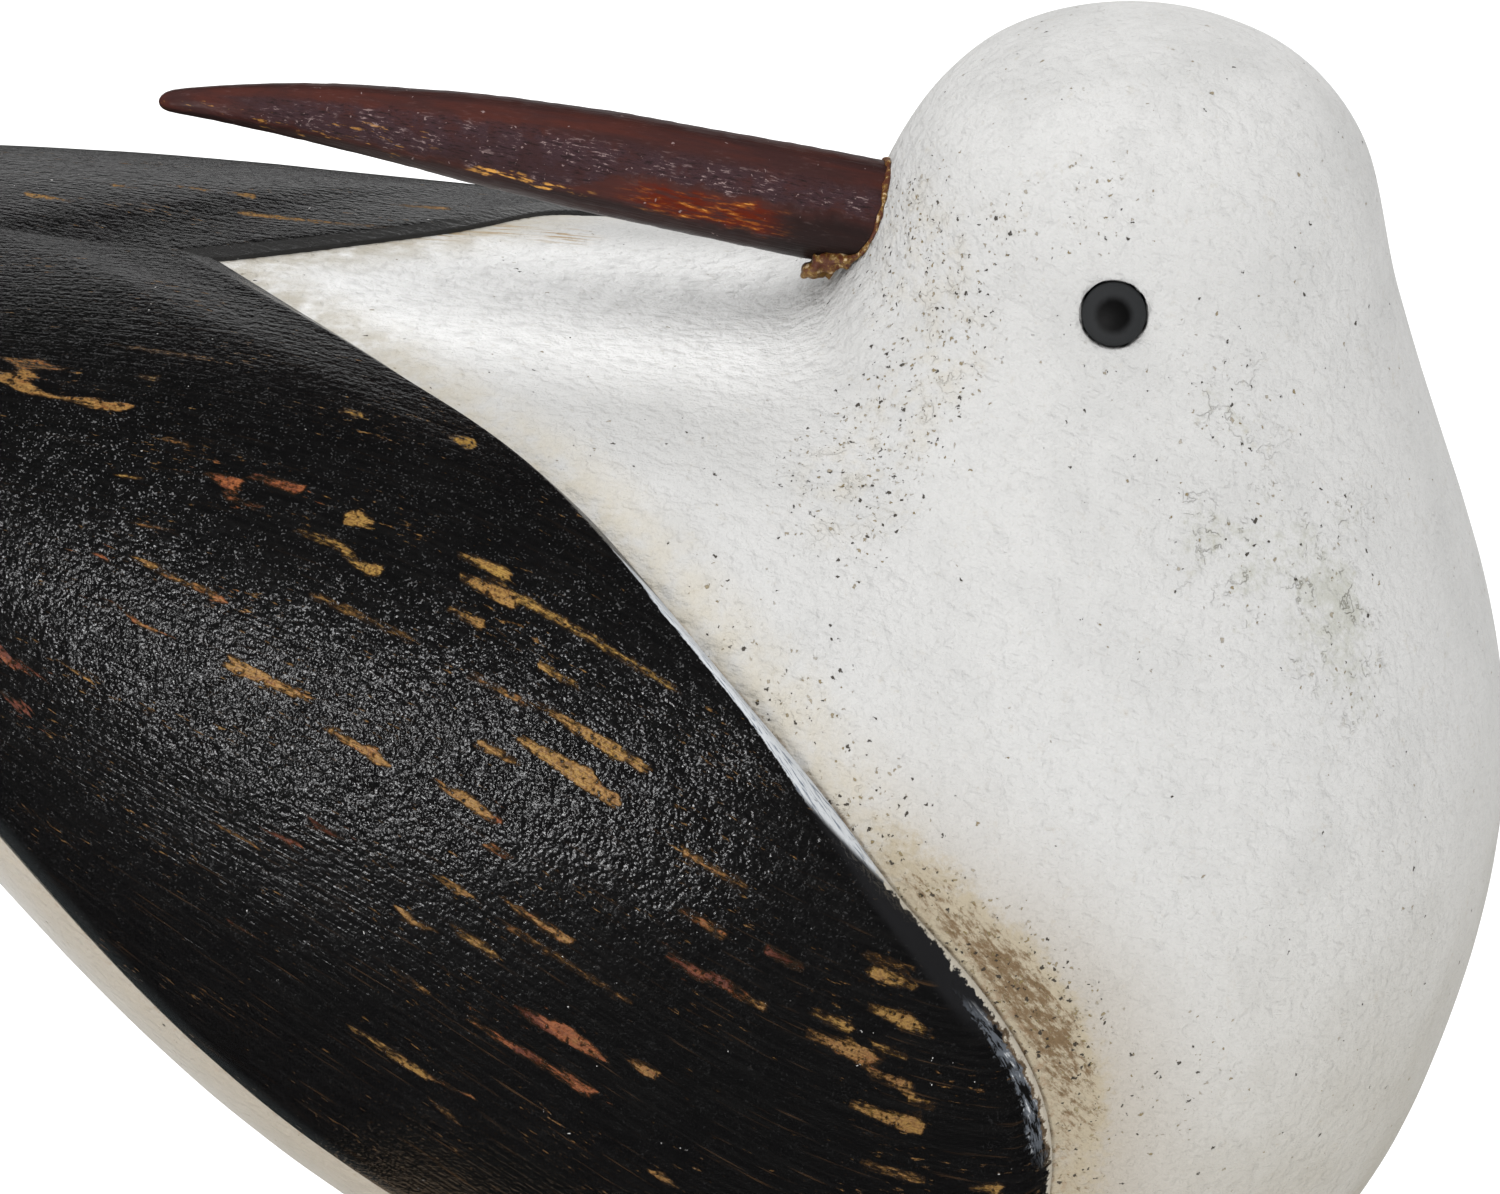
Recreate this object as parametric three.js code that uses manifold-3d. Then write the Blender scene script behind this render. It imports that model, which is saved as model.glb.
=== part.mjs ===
// Wooden seagull statue with its stand. Millimetres, +Z up, breast towards +X.
// The origin is the middle of the underside of the base.

import * as THREE from "three";
import { mergeVertices } from "three/addons/utils/BufferGeometryUtils.js";
import Module from "manifold-3d";

const manifold = await Module();
manifold.setup();

// Driving dimensions of the stand

const BASE_LENGTH = 160;
const BASE_WIDTH = 100;
const BASE_HEIGHT = 20;
const BASE_CORNER_RADIUS = 9;
const BASE_EDGE_CHAMFER = 1.6;
const LEG_RADIUS = 5;
const LEG_SPREAD = 23;
const LEG_X = 6;
const LEG_IN_BASE = 12;
const LEG_IN_BELLY = 14;
const LEG_CLEAR_HEIGHT = 44;

// Fits: air between a peg and its hole, and how much air is left at the bottom of the hole

const PEG_CLEARANCE = 0.3;
const HOLE_END_CLEARANCE = 1;

// The bird is carved in its own coordinates, then set on the legs by these two distances

const BELLY_DROP = 105.3;
const BIRD_FORWARD = 2;
const BIRD_RAISE = BASE_HEIGHT + LEG_CLEAR_HEIGHT + BELLY_DROP;

// Cross-sections of the carved block from the end of the tail, through the breast, to the crown.
// Each is a rounded oval between a point on the back line and one on the belly line.
// back and belly are [x, z]; half is the half width; the two roundness values are the powers of
// the oval on its back and belly sides, and lift moves its widest place towards the back.

const SECTIONS = [
  { back: [-180.0, 49.5], belly: [-180.0, 49.5], half: 0.01, backPower: 2.2, bellyPower: 2.2, lift: 0 },
  { back: [-178.5, 51.2], belly: [-178.5, 47.6], half: 10.0, backPower: 2.4, bellyPower: 2.4, lift: 0 },
  { back: [-170.0, 52.0], belly: [-170.0, 45.0], half: 14.0, backPower: 2.5, bellyPower: 2.4, lift: 0 },
  { back: [-152.0, 51.4], belly: [-152.0, 36.0], half: 17.5, backPower: 2.5, bellyPower: 2.2, lift: 0.1 },
  { back: [-126.0, 48.6], belly: [-128.0, 15.5], half: 27.0, backPower: 2.6, bellyPower: 2.0, lift: 0.22 },
  { back: [-93.0, 45.4], belly: [-98.0, -13.5], half: 40.0, backPower: 2.6, bellyPower: 2.1, lift: 0.28 },
  { back: [-59.0, 41.8], belly: [-64.0, -56.0], half: 53.0, backPower: 2.6, bellyPower: 2.15, lift: 0.25 },
  { back: [-22.0, 37.5], belly: [-18.0, -91.5], half: 61.0, backPower: 2.5, bellyPower: 2.1, lift: 0.22 },
  { back: [0.0, 36.3], belly: [29.0, -105.0], half: 62.3, backPower: 2.3, bellyPower: 2.0, lift: 0.2 },
  { back: [5.0, 37.2], belly: [66.5, -83.0], half: 60.0, backPower: 2.2, bellyPower: 2.0, lift: 0.1 },
  { back: [7.8, 39.0], belly: [83.5, -46.0], half: 53.5, backPower: 2.1, bellyPower: 2.0, lift: 0 },
  { back: [9.6, 41.6], belly: [86.6, -11.0], half: 45.0, backPower: 2.1, bellyPower: 2.0, lift: 0 },
  { back: [11.5, 44.6], belly: [78.2, 19.5], half: 35.0, backPower: 2.0, bellyPower: 2.0, lift: 0 },
  { back: [13.4, 49.0], belly: [70.8, 41.0], half: 29.0, backPower: 2.0, bellyPower: 2.0, lift: 0 },
  { back: [17.0, 56.5], belly: [67.3, 54.5], half: 25.5, backPower: 2.0, bellyPower: 2.0, lift: 0 },
  { back: [24.0, 64.4], belly: [60.0, 64.0], half: 18.2, backPower: 2.0, bellyPower: 2.0, lift: 0 },
  { back: [32.6, 68.4], belly: [51.0, 68.2], half: 9.2, backPower: 2.0, bellyPower: 2.0, lift: 0 },
  { back: [37.2, 69.1], belly: [46.0, 69.0], half: 4.4, backPower: 2.0, bellyPower: 2.0, lift: 0 },
  { back: [41.5, 69.3], belly: [41.5, 69.3], half: 0.01, backPower: 2.0, bellyPower: 2.0, lift: 0 },
];

// Foot of the raised wings as [section, degrees from the back line]: from the notch in front,
// down the front edge, back along the lower edge to the wing tip, and in to the notch behind.
// The bird's two wings were drawn by hand, so their front edges differ near the notch.

const WING_FRONT_NEAR = [[6.0, 0], [6.28, 11.8], [6.57, 21.8], [6.82, 29.6], [7.08, 36.4]];
const WING_FRONT_FAR = [[6.0, 0], [6.28, 6.6], [6.52, 12.6], [6.77, 20.6], [7.02, 33.0]];
const WING_REST = [
  [7.33, 44.4], [7.6, 52.8], [7.88, 60.4], [8.15, 67.8], [8.38, 75.9], [8.6, 84.0], [8.7, 93.6],
  [8.64, 103.0], [8.42, 113.5], [8.05, 123.0], [7.5, 129.2], [6.9, 131.4], [6.4, 130.2],
  [6.03, 126.9], [5.7, 122.6], [5.3, 116.8], [4.85, 110.0], [4.35, 102.0], [3.8, 92.5],
  [3.25, 81.0], [2.7, 68.0], [2.2, 54.0], [1.8, 41.0], [1.95, 30.0], [2.3, 19.0], [2.6, 9.0],
  [2.8, 0],
];
const WING_NEAR = [...WING_FRONT_NEAR, ...WING_REST];
const WING_FAR = [...WING_FRONT_FAR, ...WING_REST];

// Height of the wing and width of its sloping edge, at even steps along the wing's outline

const WING_EDGE_HEIGHT = [1.0, 1.3, 2.2, 3.0, 2.7, 2.2, 1.9, 1.9, 1.9, 1.8, 1.6];
const WING_EDGE_WIDTH = [6.0, 2.4, 2.5, 4.3, 4.0, 3.0, 2.4, 2.4, 2.2, 2.0, 1.8];
const WING_BACK_HEIGHT = 1.5;
const WING_SINK = 2.4;
const WIDEST_SLOPE_SHARE = 0.6;
const SMALLEST_RIB_SINE = 0.25;

// Beak: a tapered peg. Radius at distances from the face towards the tip, and its slight curve

const BEAK_LINE_POINT = [12.1, 47.2];
const BEAK_SLOPE = -0.209;
const BEAK_STEPS = [0, 7, 18, 29, 40, 45.5, 51, 57, 62, 68, 73, 76, 77.6];
const BEAK_RADII = [6.3, 6.2, 6.0, 5.75, 5.15, 4.75, 4.2, 3.7, 3.15, 2.45, 1.75, 1.1, 0.35];
const BEAK_DROOP_START = 30;
const BEAK_DROOP = 2.64e-5;
const BEAK_IN_HEAD = 14;
const BEAK_HOLE_RADIUS = 6.6;

// Eyes: domed beads set in drilled sockets, at this place on the head

const EYE_SECTION = 13.15;
const EYE_DEGREES = 81.3;
const EYE_SOCKET_RADIUS = 3.65;
const EYE_BEAD_RADIUS = 3.35;
const EYE_SOCKET_DEPTH = 5.5;
const EYE_DOME_HEIGHT = 1.5;
const EYE_RIM_LEVEL = -0.5;
const EYE_TOP_RADIUS = 0.2;

// Facet counts

const BODY_COLUMNS = 44;
const BODY_ROW_SPACING = 9.0;
const HEAD_FIRST_SECTION = 11;
const HEAD_ROW_SPACING = 5.5;
const WING_RIBS = 66;
const WING_COLUMNS = 8;
const WING_UNDER_COLUMNS = 3;
const ROUND_SIDES = 20;
const EYE_RINGS = 4;
const CORNER_SEGMENTS = 4;
const SMALLEST_FACET = 0.03;
const MERGE_DISTANCE = 1e-3;

const HALF_TURN = Math.PI;
const DEGREE = HALF_TURN / 180;

// Curves

function naturalBends(values) {
  // Second differences of the natural cubic through evenly spaced values
  const count = values.length;
  const upper = new Array(count).fill(0);
  const bend = new Array(count).fill(0);
  for (let i = 1; i < count - 1; i += 1) {
    const pivot = 4 - upper[i - 1];
    upper[i] = 1 / pivot;
    const rise = 6 * (values[i - 1] - 2 * values[i] + values[i + 1]);
    bend[i] = (rise - bend[i - 1]) / pivot;
  }
  for (let i = count - 2; i > 0; i -= 1) {
    bend[i] -= upper[i] * bend[i + 1];
  }
  return bend;
}

function curve(values) {
  // Smooth curve through values at 0, 1, 2 and so on
  const bend = naturalBends(values);
  return (t) => {
    const i = Math.min(Math.max(Math.floor(t), 0), values.length - 2);
    const f = t - i;
    const g = 1 - f;
    const straight = g * values[i] + f * values[i + 1];
    return straight + ((g ** 3 - g) * bend[i] + (f ** 3 - f) * bend[i + 1]) / 6;
  };
}

function stretched(values) {
  // The same, with its parameter running from 0 to 1
  const along = curve(values);
  return (u) => along(u * (values.length - 1));
}

// The carved surface

const section = {
  backX: curve(SECTIONS.map((s) => s.back[0])),
  backZ: curve(SECTIONS.map((s) => s.back[1])),
  bellyX: curve(SECTIONS.map((s) => s.belly[0])),
  bellyZ: curve(SECTIONS.map((s) => s.belly[1])),
  half: curve(SECTIONS.map((s) => s.half)),
  backPower: curve(SECTIONS.map((s) => s.backPower)),
  bellyPower: curve(SECTIONS.map((s) => s.bellyPower)),
  lift: curve(SECTIONS.map((s) => s.lift)),
};

function bodyPoint(t, angle) {
  // Point on section t, at an angle round it from the back line; positive angles are far (+Y)
  const c = Math.cos(angle);
  const s = Math.sin(angle);
  const nearBack = 0.5 * (1 + c);
  const blend = nearBack * nearBack * (3 - 2 * nearBack);
  const power = section.backPower(t) * blend + section.bellyPower(t) * (1 - blend);
  const radius = (Math.abs(c) ** power + Math.abs(s) ** power) ** (-1 / power);
  const level = -radius * c;
  const down = level - section.lift(t) * (1 - level * level);
  const middleX = (section.backX(t) + section.bellyX(t)) / 2;
  const middleZ = (section.backZ(t) + section.bellyZ(t)) / 2;
  const reachX = (section.bellyX(t) - section.backX(t)) / 2;
  const reachZ = (section.bellyZ(t) - section.backZ(t)) / 2;
  return new THREE.Vector3(
    middleX + reachX * down + BIRD_FORWARD,
    Math.max(section.half(t), 0) * radius * s,
    middleZ + reachZ * down + BIRD_RAISE,
  );
}

function bodyNormal(t, angle) {
  // Outward unit normal from two short chords on the surface
  const step = 0.01;
  const low = Math.max(t - step, 0);
  const high = Math.min(t + step, SECTIONS.length - 1);
  const along = bodyPoint(high, angle).sub(bodyPoint(low, angle));
  const around = bodyPoint(t, angle + step).sub(bodyPoint(t, angle - step));
  return along.cross(around).normalize();
}

// Solids from points and triangles

function solid(points, triangles) {
  const position = new Float32Array(points.length * 3);
  points.forEach((p, i) => p.toArray(position, i * 3));
  const geometry = new THREE.BufferGeometry();
  geometry.setAttribute("position", new THREE.BufferAttribute(position, 3));
  geometry.setIndex(triangles.flat());
  return solidFrom(geometry);
}

function solidFrom(geometry) {
  const bare = geometry.clone();
  bare.deleteAttribute("normal");
  bare.deleteAttribute("uv");
  const merged = mergeVertices(bare, MERGE_DISTANCE);
  return new manifold.Manifold(
    new manifold.Mesh({
      numProp: 3,
      vertProperties: new Float32Array(merged.attributes.position.array),
      triVerts: new Uint32Array(merged.index.array),
    }),
  );
}

function meshFrom(shape, name, material) {
  const source = shape.simplify(SMALLEST_FACET).getMesh();
  const geometry = new THREE.BufferGeometry();
  const position = new Float32Array(source.vertProperties);
  geometry.setAttribute("position", new THREE.BufferAttribute(position, 3));
  geometry.setIndex(new THREE.BufferAttribute(new Uint32Array(source.triVerts), 1));
  geometry.computeVertexNormals();
  const mesh = new THREE.Mesh(geometry, material);
  mesh.name = name;
  return mesh;
}

function ringStack(rings, first, last) {
  // Closed solid from rings of equal length, each end closed to its own point
  const sides = rings[0].length;
  const points = [...rings.flat(), first, last];
  const firstIndex = points.length - 2;
  const lastIndex = points.length - 1;
  const triangles = [];
  for (let j = 0; j < sides; j += 1) {
    const k = (j + 1) % sides;
    triangles.push([firstIndex, k, j]);
    for (let i = 0; i < rings.length - 1; i += 1) {
      const a = i * sides + j;
      const b = i * sides + k;
      const c = (i + 1) * sides + k;
      const d = (i + 1) * sides + j;
      triangles.push([a, b, c], [a, c, d]);
    }
    const row = (rings.length - 1) * sides;
    triangles.push([lastIndex, row + j, row + k]);
  }
  return solid(points, triangles);
}

function turned(start, axis, steps, radii, sides, droop) {
  // Round bar along an axis from a start point: a radius at each step, moved down by droop
  const up = Math.abs(axis.z) > 0.9 ? new THREE.Vector3(1, 0, 0) : new THREE.Vector3(0, 0, 1);
  const across = up.clone().cross(axis).normalize();
  const over = axis.clone().cross(across).normalize();
  const centre = (step) => {
    const place = start.clone().addScaledVector(axis, step);
    place.z -= droop ? droop(step) : 0;
    return place;
  };
  const rings = steps.map((step, i) => {
    const ring = [];
    for (let j = 0; j < sides; j += 1) {
      const turn = (2 * HALF_TURN * j) / sides;
      const place = centre(step);
      place.addScaledVector(across, radii[i] * Math.cos(turn));
      place.addScaledVector(over, radii[i] * Math.sin(turn));
      ring.push(place);
    }
    return ring;
  });
  return ringStack(rings, centre(steps[0]), centre(steps[steps.length - 1]));
}

// The carved block

function sectionRows() {
  // Sections close enough together that facets keep to the row spacing, finer on the head
  const rows = [];
  for (let i = 0; i < SECTIONS.length - 1; i += 1) {
    let longest = 0;
    for (const degrees of [0, 45, 90, 135, 180]) {
      const angle = degrees * DEGREE;
      longest = Math.max(longest, bodyPoint(i, angle).distanceTo(bodyPoint(i + 1, angle)));
    }
    const spacing = i < HEAD_FIRST_SECTION ? BODY_ROW_SPACING : HEAD_ROW_SPACING;
    const count = Math.max(1, Math.round(longest / spacing));
    for (let k = 0; k < count; k += 1) {
      rows.push(i + k / count);
    }
  }
  return rows.slice(1);
}

function carvedBlock() {
  const rings = sectionRows().map((t) => {
    const ring = [];
    for (let j = 0; j < BODY_COLUMNS; j += 1) {
      ring.push(bodyPoint(t, (-2 * HALF_TURN * j) / BODY_COLUMNS));
    }
    return ring;
  });
  return ringStack(rings, bodyPoint(0, 0), bodyPoint(SECTIONS.length - 1, 0));
}

// The raised wings

const edgeHeight = stretched(WING_EDGE_HEIGHT);
const edgeWidth = stretched(WING_EDGE_WIDTH);

function wingPlace(outline, side, u, q) {
  // Section and signed angle at q across the rib u, from the back line to the outline
  const last = outline.length - 1;
  const middle = outline[0][0] + (outline[last][0] - outline[0][0]) * u;
  const edgeSection = stretched(outline.map((p) => p[0]))(u);
  const edgeAngle = stretched(outline.map((p) => p[1]))(u);
  return [middle + (edgeSection - middle) * q, side * edgeAngle * q * DEGREE];
}

function wingPoint(place, height) {
  return bodyPoint(...place).addScaledVector(bodyNormal(...place), height);
}

function ribReach(outline, side, u) {
  // Distance from the back line to the outline, measured square to the outline
  const step = 0.004;
  const root = bodyPoint(...wingPlace(outline, side, u, 0));
  const edge = bodyPoint(...wingPlace(outline, side, u, 1));
  const inside = bodyPoint(...wingPlace(outline, side, u, 0.95));
  const before = bodyPoint(...wingPlace(outline, side, Math.max(u - step, 0), 1));
  const after = bodyPoint(...wingPlace(outline, side, Math.min(u + step, 1), 1));
  const inwards = inside.sub(edge).normalize();
  const sine = inwards.cross(after.sub(before).normalize()).length();
  return root.distanceTo(edge) * Math.max(sine, SMALLEST_RIB_SINE);
}

function ribColumns(outline, side, u) {
  // Places across one half rib, with the height of the wing at each, out to the buried foot
  const reach = ribReach(outline, side, u);
  const slope = Math.min(edgeWidth(u) / reach, WIDEST_SLOPE_SHARE);
  const columns = [];
  for (let k = 0; k < WING_COLUMNS; k += 1) {
    columns.push(((1 - slope) * k) / (WING_COLUMNS - 1));
  }
  const out = columns.map((q) => {
    const full = WING_BACK_HEIGHT + (edgeHeight(u) - WING_BACK_HEIGHT) * q * q;
    const ramp = Math.min(((1 - q) * reach) / edgeWidth(u), 1);
    return wingPoint(wingPlace(outline, side, u, q), full * ramp);
  });
  out.push(wingPoint(wingPlace(outline, side, u, 1), 0));
  out.push(wingPoint(wingPlace(outline, side, u, 1), -WING_SINK));
  return out;
}

function underColumns(outline, side, u) {
  const out = [];
  for (let k = 0; k < WING_UNDER_COLUMNS; k += 1) {
    const q = k / WING_UNDER_COLUMNS;
    out.push(wingPoint(wingPlace(outline, side, u, q), -WING_SINK));
  }
  return out;
}

function raisedWings() {
  // One closed ring of points round each rib: over the top, then back underneath
  const rings = [];
  for (let i = 1; i < WING_RIBS; i += 1) {
    const u = i / WING_RIBS;
    const topNear = ribColumns(WING_NEAR, -1, u);
    const topFar = ribColumns(WING_FAR, 1, u);
    const underNear = underColumns(WING_NEAR, -1, u);
    const underFar = underColumns(WING_FAR, 1, u);
    rings.push([
      ...topNear.slice(1).reverse(),
      ...topFar,
      ...underFar.slice(1).reverse(),
      ...underNear,
    ]);
  }
  const first = wingPoint(wingPlace(WING_NEAR, -1, 0, 0), -WING_SINK);
  const last = wingPoint(wingPlace(WING_NEAR, -1, 1, 0), -WING_SINK);
  return ringStack(rings, first, last);
}

// Pegs, beads and their holes

const beakAxis = new THREE.Vector3(-1, 0, -BEAK_SLOPE).normalize();
const beakStart = new THREE.Vector3(
  BEAK_LINE_POINT[0] + BIRD_FORWARD,
  0,
  BEAK_LINE_POINT[1] + BIRD_RAISE,
);

function beakDroop(step) {
  return BEAK_DROOP * Math.max(step - BEAK_DROOP_START, 0) ** 3;
}

function beakSolid() {
  const steps = [-BEAK_IN_HEAD, ...BEAK_STEPS];
  const radii = [BEAK_RADII[0], ...BEAK_RADII];
  return turned(beakStart, beakAxis, steps, radii, ROUND_SIDES, beakDroop);
}

function beakHole() {
  const steps = [-BEAK_IN_HEAD - HOLE_END_CLEARANCE, BEAK_IN_HEAD];
  const radii = [BEAK_HOLE_RADIUS, BEAK_HOLE_RADIUS];
  return turned(beakStart, beakAxis, steps, radii, ROUND_SIDES, null);
}

function eyeFrame(side) {
  const angle = side * EYE_DEGREES * DEGREE;
  return { centre: bodyPoint(EYE_SECTION, angle), out: bodyNormal(EYE_SECTION, angle) };
}

function eyeSocket(side) {
  const { centre, out } = eyeFrame(side);
  const radii = [EYE_SOCKET_RADIUS, EYE_SOCKET_RADIUS];
  return turned(centre, out, [-EYE_SOCKET_DEPTH, EYE_SOCKET_DEPTH], radii, ROUND_SIDES, null);
}

function eyeBead(side) {
  // A short barrel with a dome on it
  const { centre, out } = eyeFrame(side);
  const steps = [-EYE_SOCKET_DEPTH + HOLE_END_CLEARANCE];
  const radii = [EYE_BEAD_RADIUS];
  for (let k = 0; k < EYE_RINGS; k += 1) {
    const turn = (0.5 * HALF_TURN * k) / EYE_RINGS;
    steps.push(EYE_RIM_LEVEL + EYE_DOME_HEIGHT * Math.sin(turn));
    radii.push(EYE_BEAD_RADIUS * Math.cos(turn));
  }
  steps.push(EYE_RIM_LEVEL + EYE_DOME_HEIGHT);
  radii.push(EYE_TOP_RADIUS);
  return turned(centre, out, steps, radii, ROUND_SIDES, null);
}

function bellyHeight(x, y) {
  // Height of the underside of the bird at a place on the plan, by stepping along its belly
  const [firstSection, lastSection, sectionStep] = [6, 10, 0.05];
  const [firstDegrees, lastDegrees, degreesStep] = [120, 180, 2];
  let best = null;
  for (let t = firstSection; t < lastSection; t += sectionStep) {
    for (let degrees = firstDegrees; degrees <= lastDegrees; degrees += degreesStep) {
      const place = bodyPoint(t, degrees * DEGREE);
      const off = Math.hypot(place.x - x, place.y - y);
      if (best === null || off < best.off) {
        best = { off, z: place.z };
      }
    }
  }
  return best.z;
}

const legTop = bellyHeight(LEG_X, LEG_SPREAD) + LEG_IN_BELLY;
const legFoot = BASE_HEIGHT - LEG_IN_BASE;
const upwards = new THREE.Vector3(0, 0, 1);

function legSolid(side) {
  const start = new THREE.Vector3(LEG_X, side * LEG_SPREAD, legFoot);
  const length = legTop - legFoot;
  return turned(start, upwards, [0, length], [LEG_RADIUS, LEG_RADIUS], ROUND_SIDES, null);
}

function legHole(side) {
  const start = new THREE.Vector3(LEG_X, side * LEG_SPREAD, legFoot - HOLE_END_CLEARANCE);
  const length = legTop - legFoot + 2 * HOLE_END_CLEARANCE;
  const radius = LEG_RADIUS + PEG_CLEARANCE;
  return turned(start, upwards, [0, length], [radius, radius], ROUND_SIDES, null);
}

// The base

function baseBlock() {
  const outline = new THREE.Shape();
  const x = BASE_LENGTH / 2 - BASE_EDGE_CHAMFER;
  const y = BASE_WIDTH / 2 - BASE_EDGE_CHAMFER;
  const r = BASE_CORNER_RADIUS;
  outline.moveTo(-x + r, -y);
  outline.lineTo(x - r, -y);
  outline.absarc(x - r, -y + r, r, -HALF_TURN / 2, 0);
  outline.lineTo(x, y - r);
  outline.absarc(x - r, y - r, r, 0, HALF_TURN / 2);
  outline.lineTo(-x + r, y);
  outline.absarc(-x + r, y - r, r, HALF_TURN / 2, HALF_TURN);
  outline.lineTo(-x, -y + r);
  outline.absarc(-x + r, -y + r, r, HALF_TURN, 1.5 * HALF_TURN);
  const geometry = new THREE.ExtrudeGeometry(outline, {
    depth: BASE_HEIGHT - 2 * BASE_EDGE_CHAMFER,
    bevelThickness: BASE_EDGE_CHAMFER,
    bevelSize: BASE_EDGE_CHAMFER,
    bevelSegments: 1,
    curveSegments: CORNER_SEGMENTS,
  });
  geometry.translate(0, 0, BASE_EDGE_CHAMFER);
  return solidFrom(geometry);
}

// Finishes

function finish(name, colour, roughness) {
  const material = new THREE.MeshStandardMaterial({ color: colour, roughness });
  material.name = name;
  return material;
}

const paintedWood = finish("painted_wood", 0xd9d7d2, 0.8);
const stainedWood = finish("stained_wood", 0x5a2f22, 0.5);
const blackBead = finish("black_bead", 0x0b0b0b, 0.12);
const bareWood = finish("bare_wood", 0x9c8465, 0.85);

// Assembly

const legs = [-1, 1];
let bird = carvedBlock().add(raisedWings());
bird = bird.subtract(beakHole());
let base = baseBlock();
for (const side of legs) {
  bird = bird.subtract(eyeSocket(side));
  bird = bird.subtract(legHole(side));
  base = base.subtract(legHole(side));
}

const statue = new THREE.Group();
statue.name = "wooden_seagull";
statue.add(meshFrom(bird, "body", paintedWood));
statue.add(meshFrom(beakSolid(), "beak", stainedWood));
statue.add(meshFrom(eyeBead(-1), "eye_near", blackBead));
statue.add(meshFrom(eyeBead(1), "eye_far", blackBead));
statue.add(meshFrom(legSolid(-1), "leg_near", stainedWood));
statue.add(meshFrom(legSolid(1), "leg_far", stainedWood));
statue.add(meshFrom(base, "base", bareWood));

export default statue;
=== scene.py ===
# %% [markdown]
# # A wooden seagull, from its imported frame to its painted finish
#
# The statue is one carved block of wood with raised black wings, a stained peg for a beak, two
# bead eyes, and two dowel legs on a low base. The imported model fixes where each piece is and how
# big it is. This lesson gives every piece a finer surface worked out with numpy and a finish
# made of shader nodes. Sizes are written in millimetres and turned into metres at the end.

# %% Frame and shared sizes

import bpy
import numpy as np
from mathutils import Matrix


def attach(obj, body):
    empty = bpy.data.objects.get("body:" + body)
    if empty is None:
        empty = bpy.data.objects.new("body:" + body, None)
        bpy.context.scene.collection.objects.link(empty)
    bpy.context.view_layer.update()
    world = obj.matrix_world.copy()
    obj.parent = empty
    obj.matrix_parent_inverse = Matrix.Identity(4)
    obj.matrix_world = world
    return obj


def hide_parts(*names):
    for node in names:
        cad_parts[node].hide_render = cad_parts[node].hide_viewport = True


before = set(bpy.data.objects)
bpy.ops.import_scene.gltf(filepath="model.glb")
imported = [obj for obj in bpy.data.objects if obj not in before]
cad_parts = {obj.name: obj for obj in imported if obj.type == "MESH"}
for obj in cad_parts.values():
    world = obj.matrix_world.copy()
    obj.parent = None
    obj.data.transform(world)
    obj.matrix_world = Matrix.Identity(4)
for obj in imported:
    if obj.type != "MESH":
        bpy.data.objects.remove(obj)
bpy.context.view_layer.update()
MM = 0.001
HALF_TURN = np.pi
DEGREE = np.pi / 180
SIDES = {"near": -1, "far": 1}
print("nodes in the frame:", sorted(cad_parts))

# %% [markdown]
# ## Camera
#
# The photograph looks down at the bird from its right side, which is the near side here, with a
# long lens, so that nearly parallel lines stay parallel. The camera stands half a metre away, 27
# degrees above level, and points at the middle of the picture. Depth of field stays off and the
# lens isn't shifted.

# %% Camera

LOOK_AT = np.array([2.0, 0.0, 169.3]) * MM
CAMERA_DISTANCE = 0.5
CAMERA_ABOVE = 27 * DEGREE
LENS_MM = 105
SENSOR_MM = 36

camera_data = bpy.data.cameras.new("camera")
camera_data.lens = LENS_MM
camera_data.sensor_width = SENSOR_MM
camera_data.clip_start = 0.01
camera_data.clip_end = 50
camera = bpy.data.objects.new("camera", camera_data)
bpy.context.scene.collection.objects.link(camera)
away = np.array([0, -np.cos(CAMERA_ABOVE), np.sin(CAMERA_ABOVE)])
camera.location = LOOK_AT + CAMERA_DISTANCE * away
camera.rotation_euler = (HALF_TURN / 2 - CAMERA_ABOVE, 0, 0)
bpy.context.scene.camera = camera
print("camera stands at", [round(v, 4) for v in camera.location])

# %% [markdown]
# ## The carved surface
#
# A carver thinks of such a bird as a row of cross-sections, from the end of the tail through the
# breast to the crown. Each section here is a rounded oval hung between a point on the back line
# and a point on the belly line, and every measure runs smoothly from one section to the next.
# One function then gives a point of the surface for any section and any angle round it, and all
# other pieces of the bird are built on that function.

# %% Cross-sections

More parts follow.
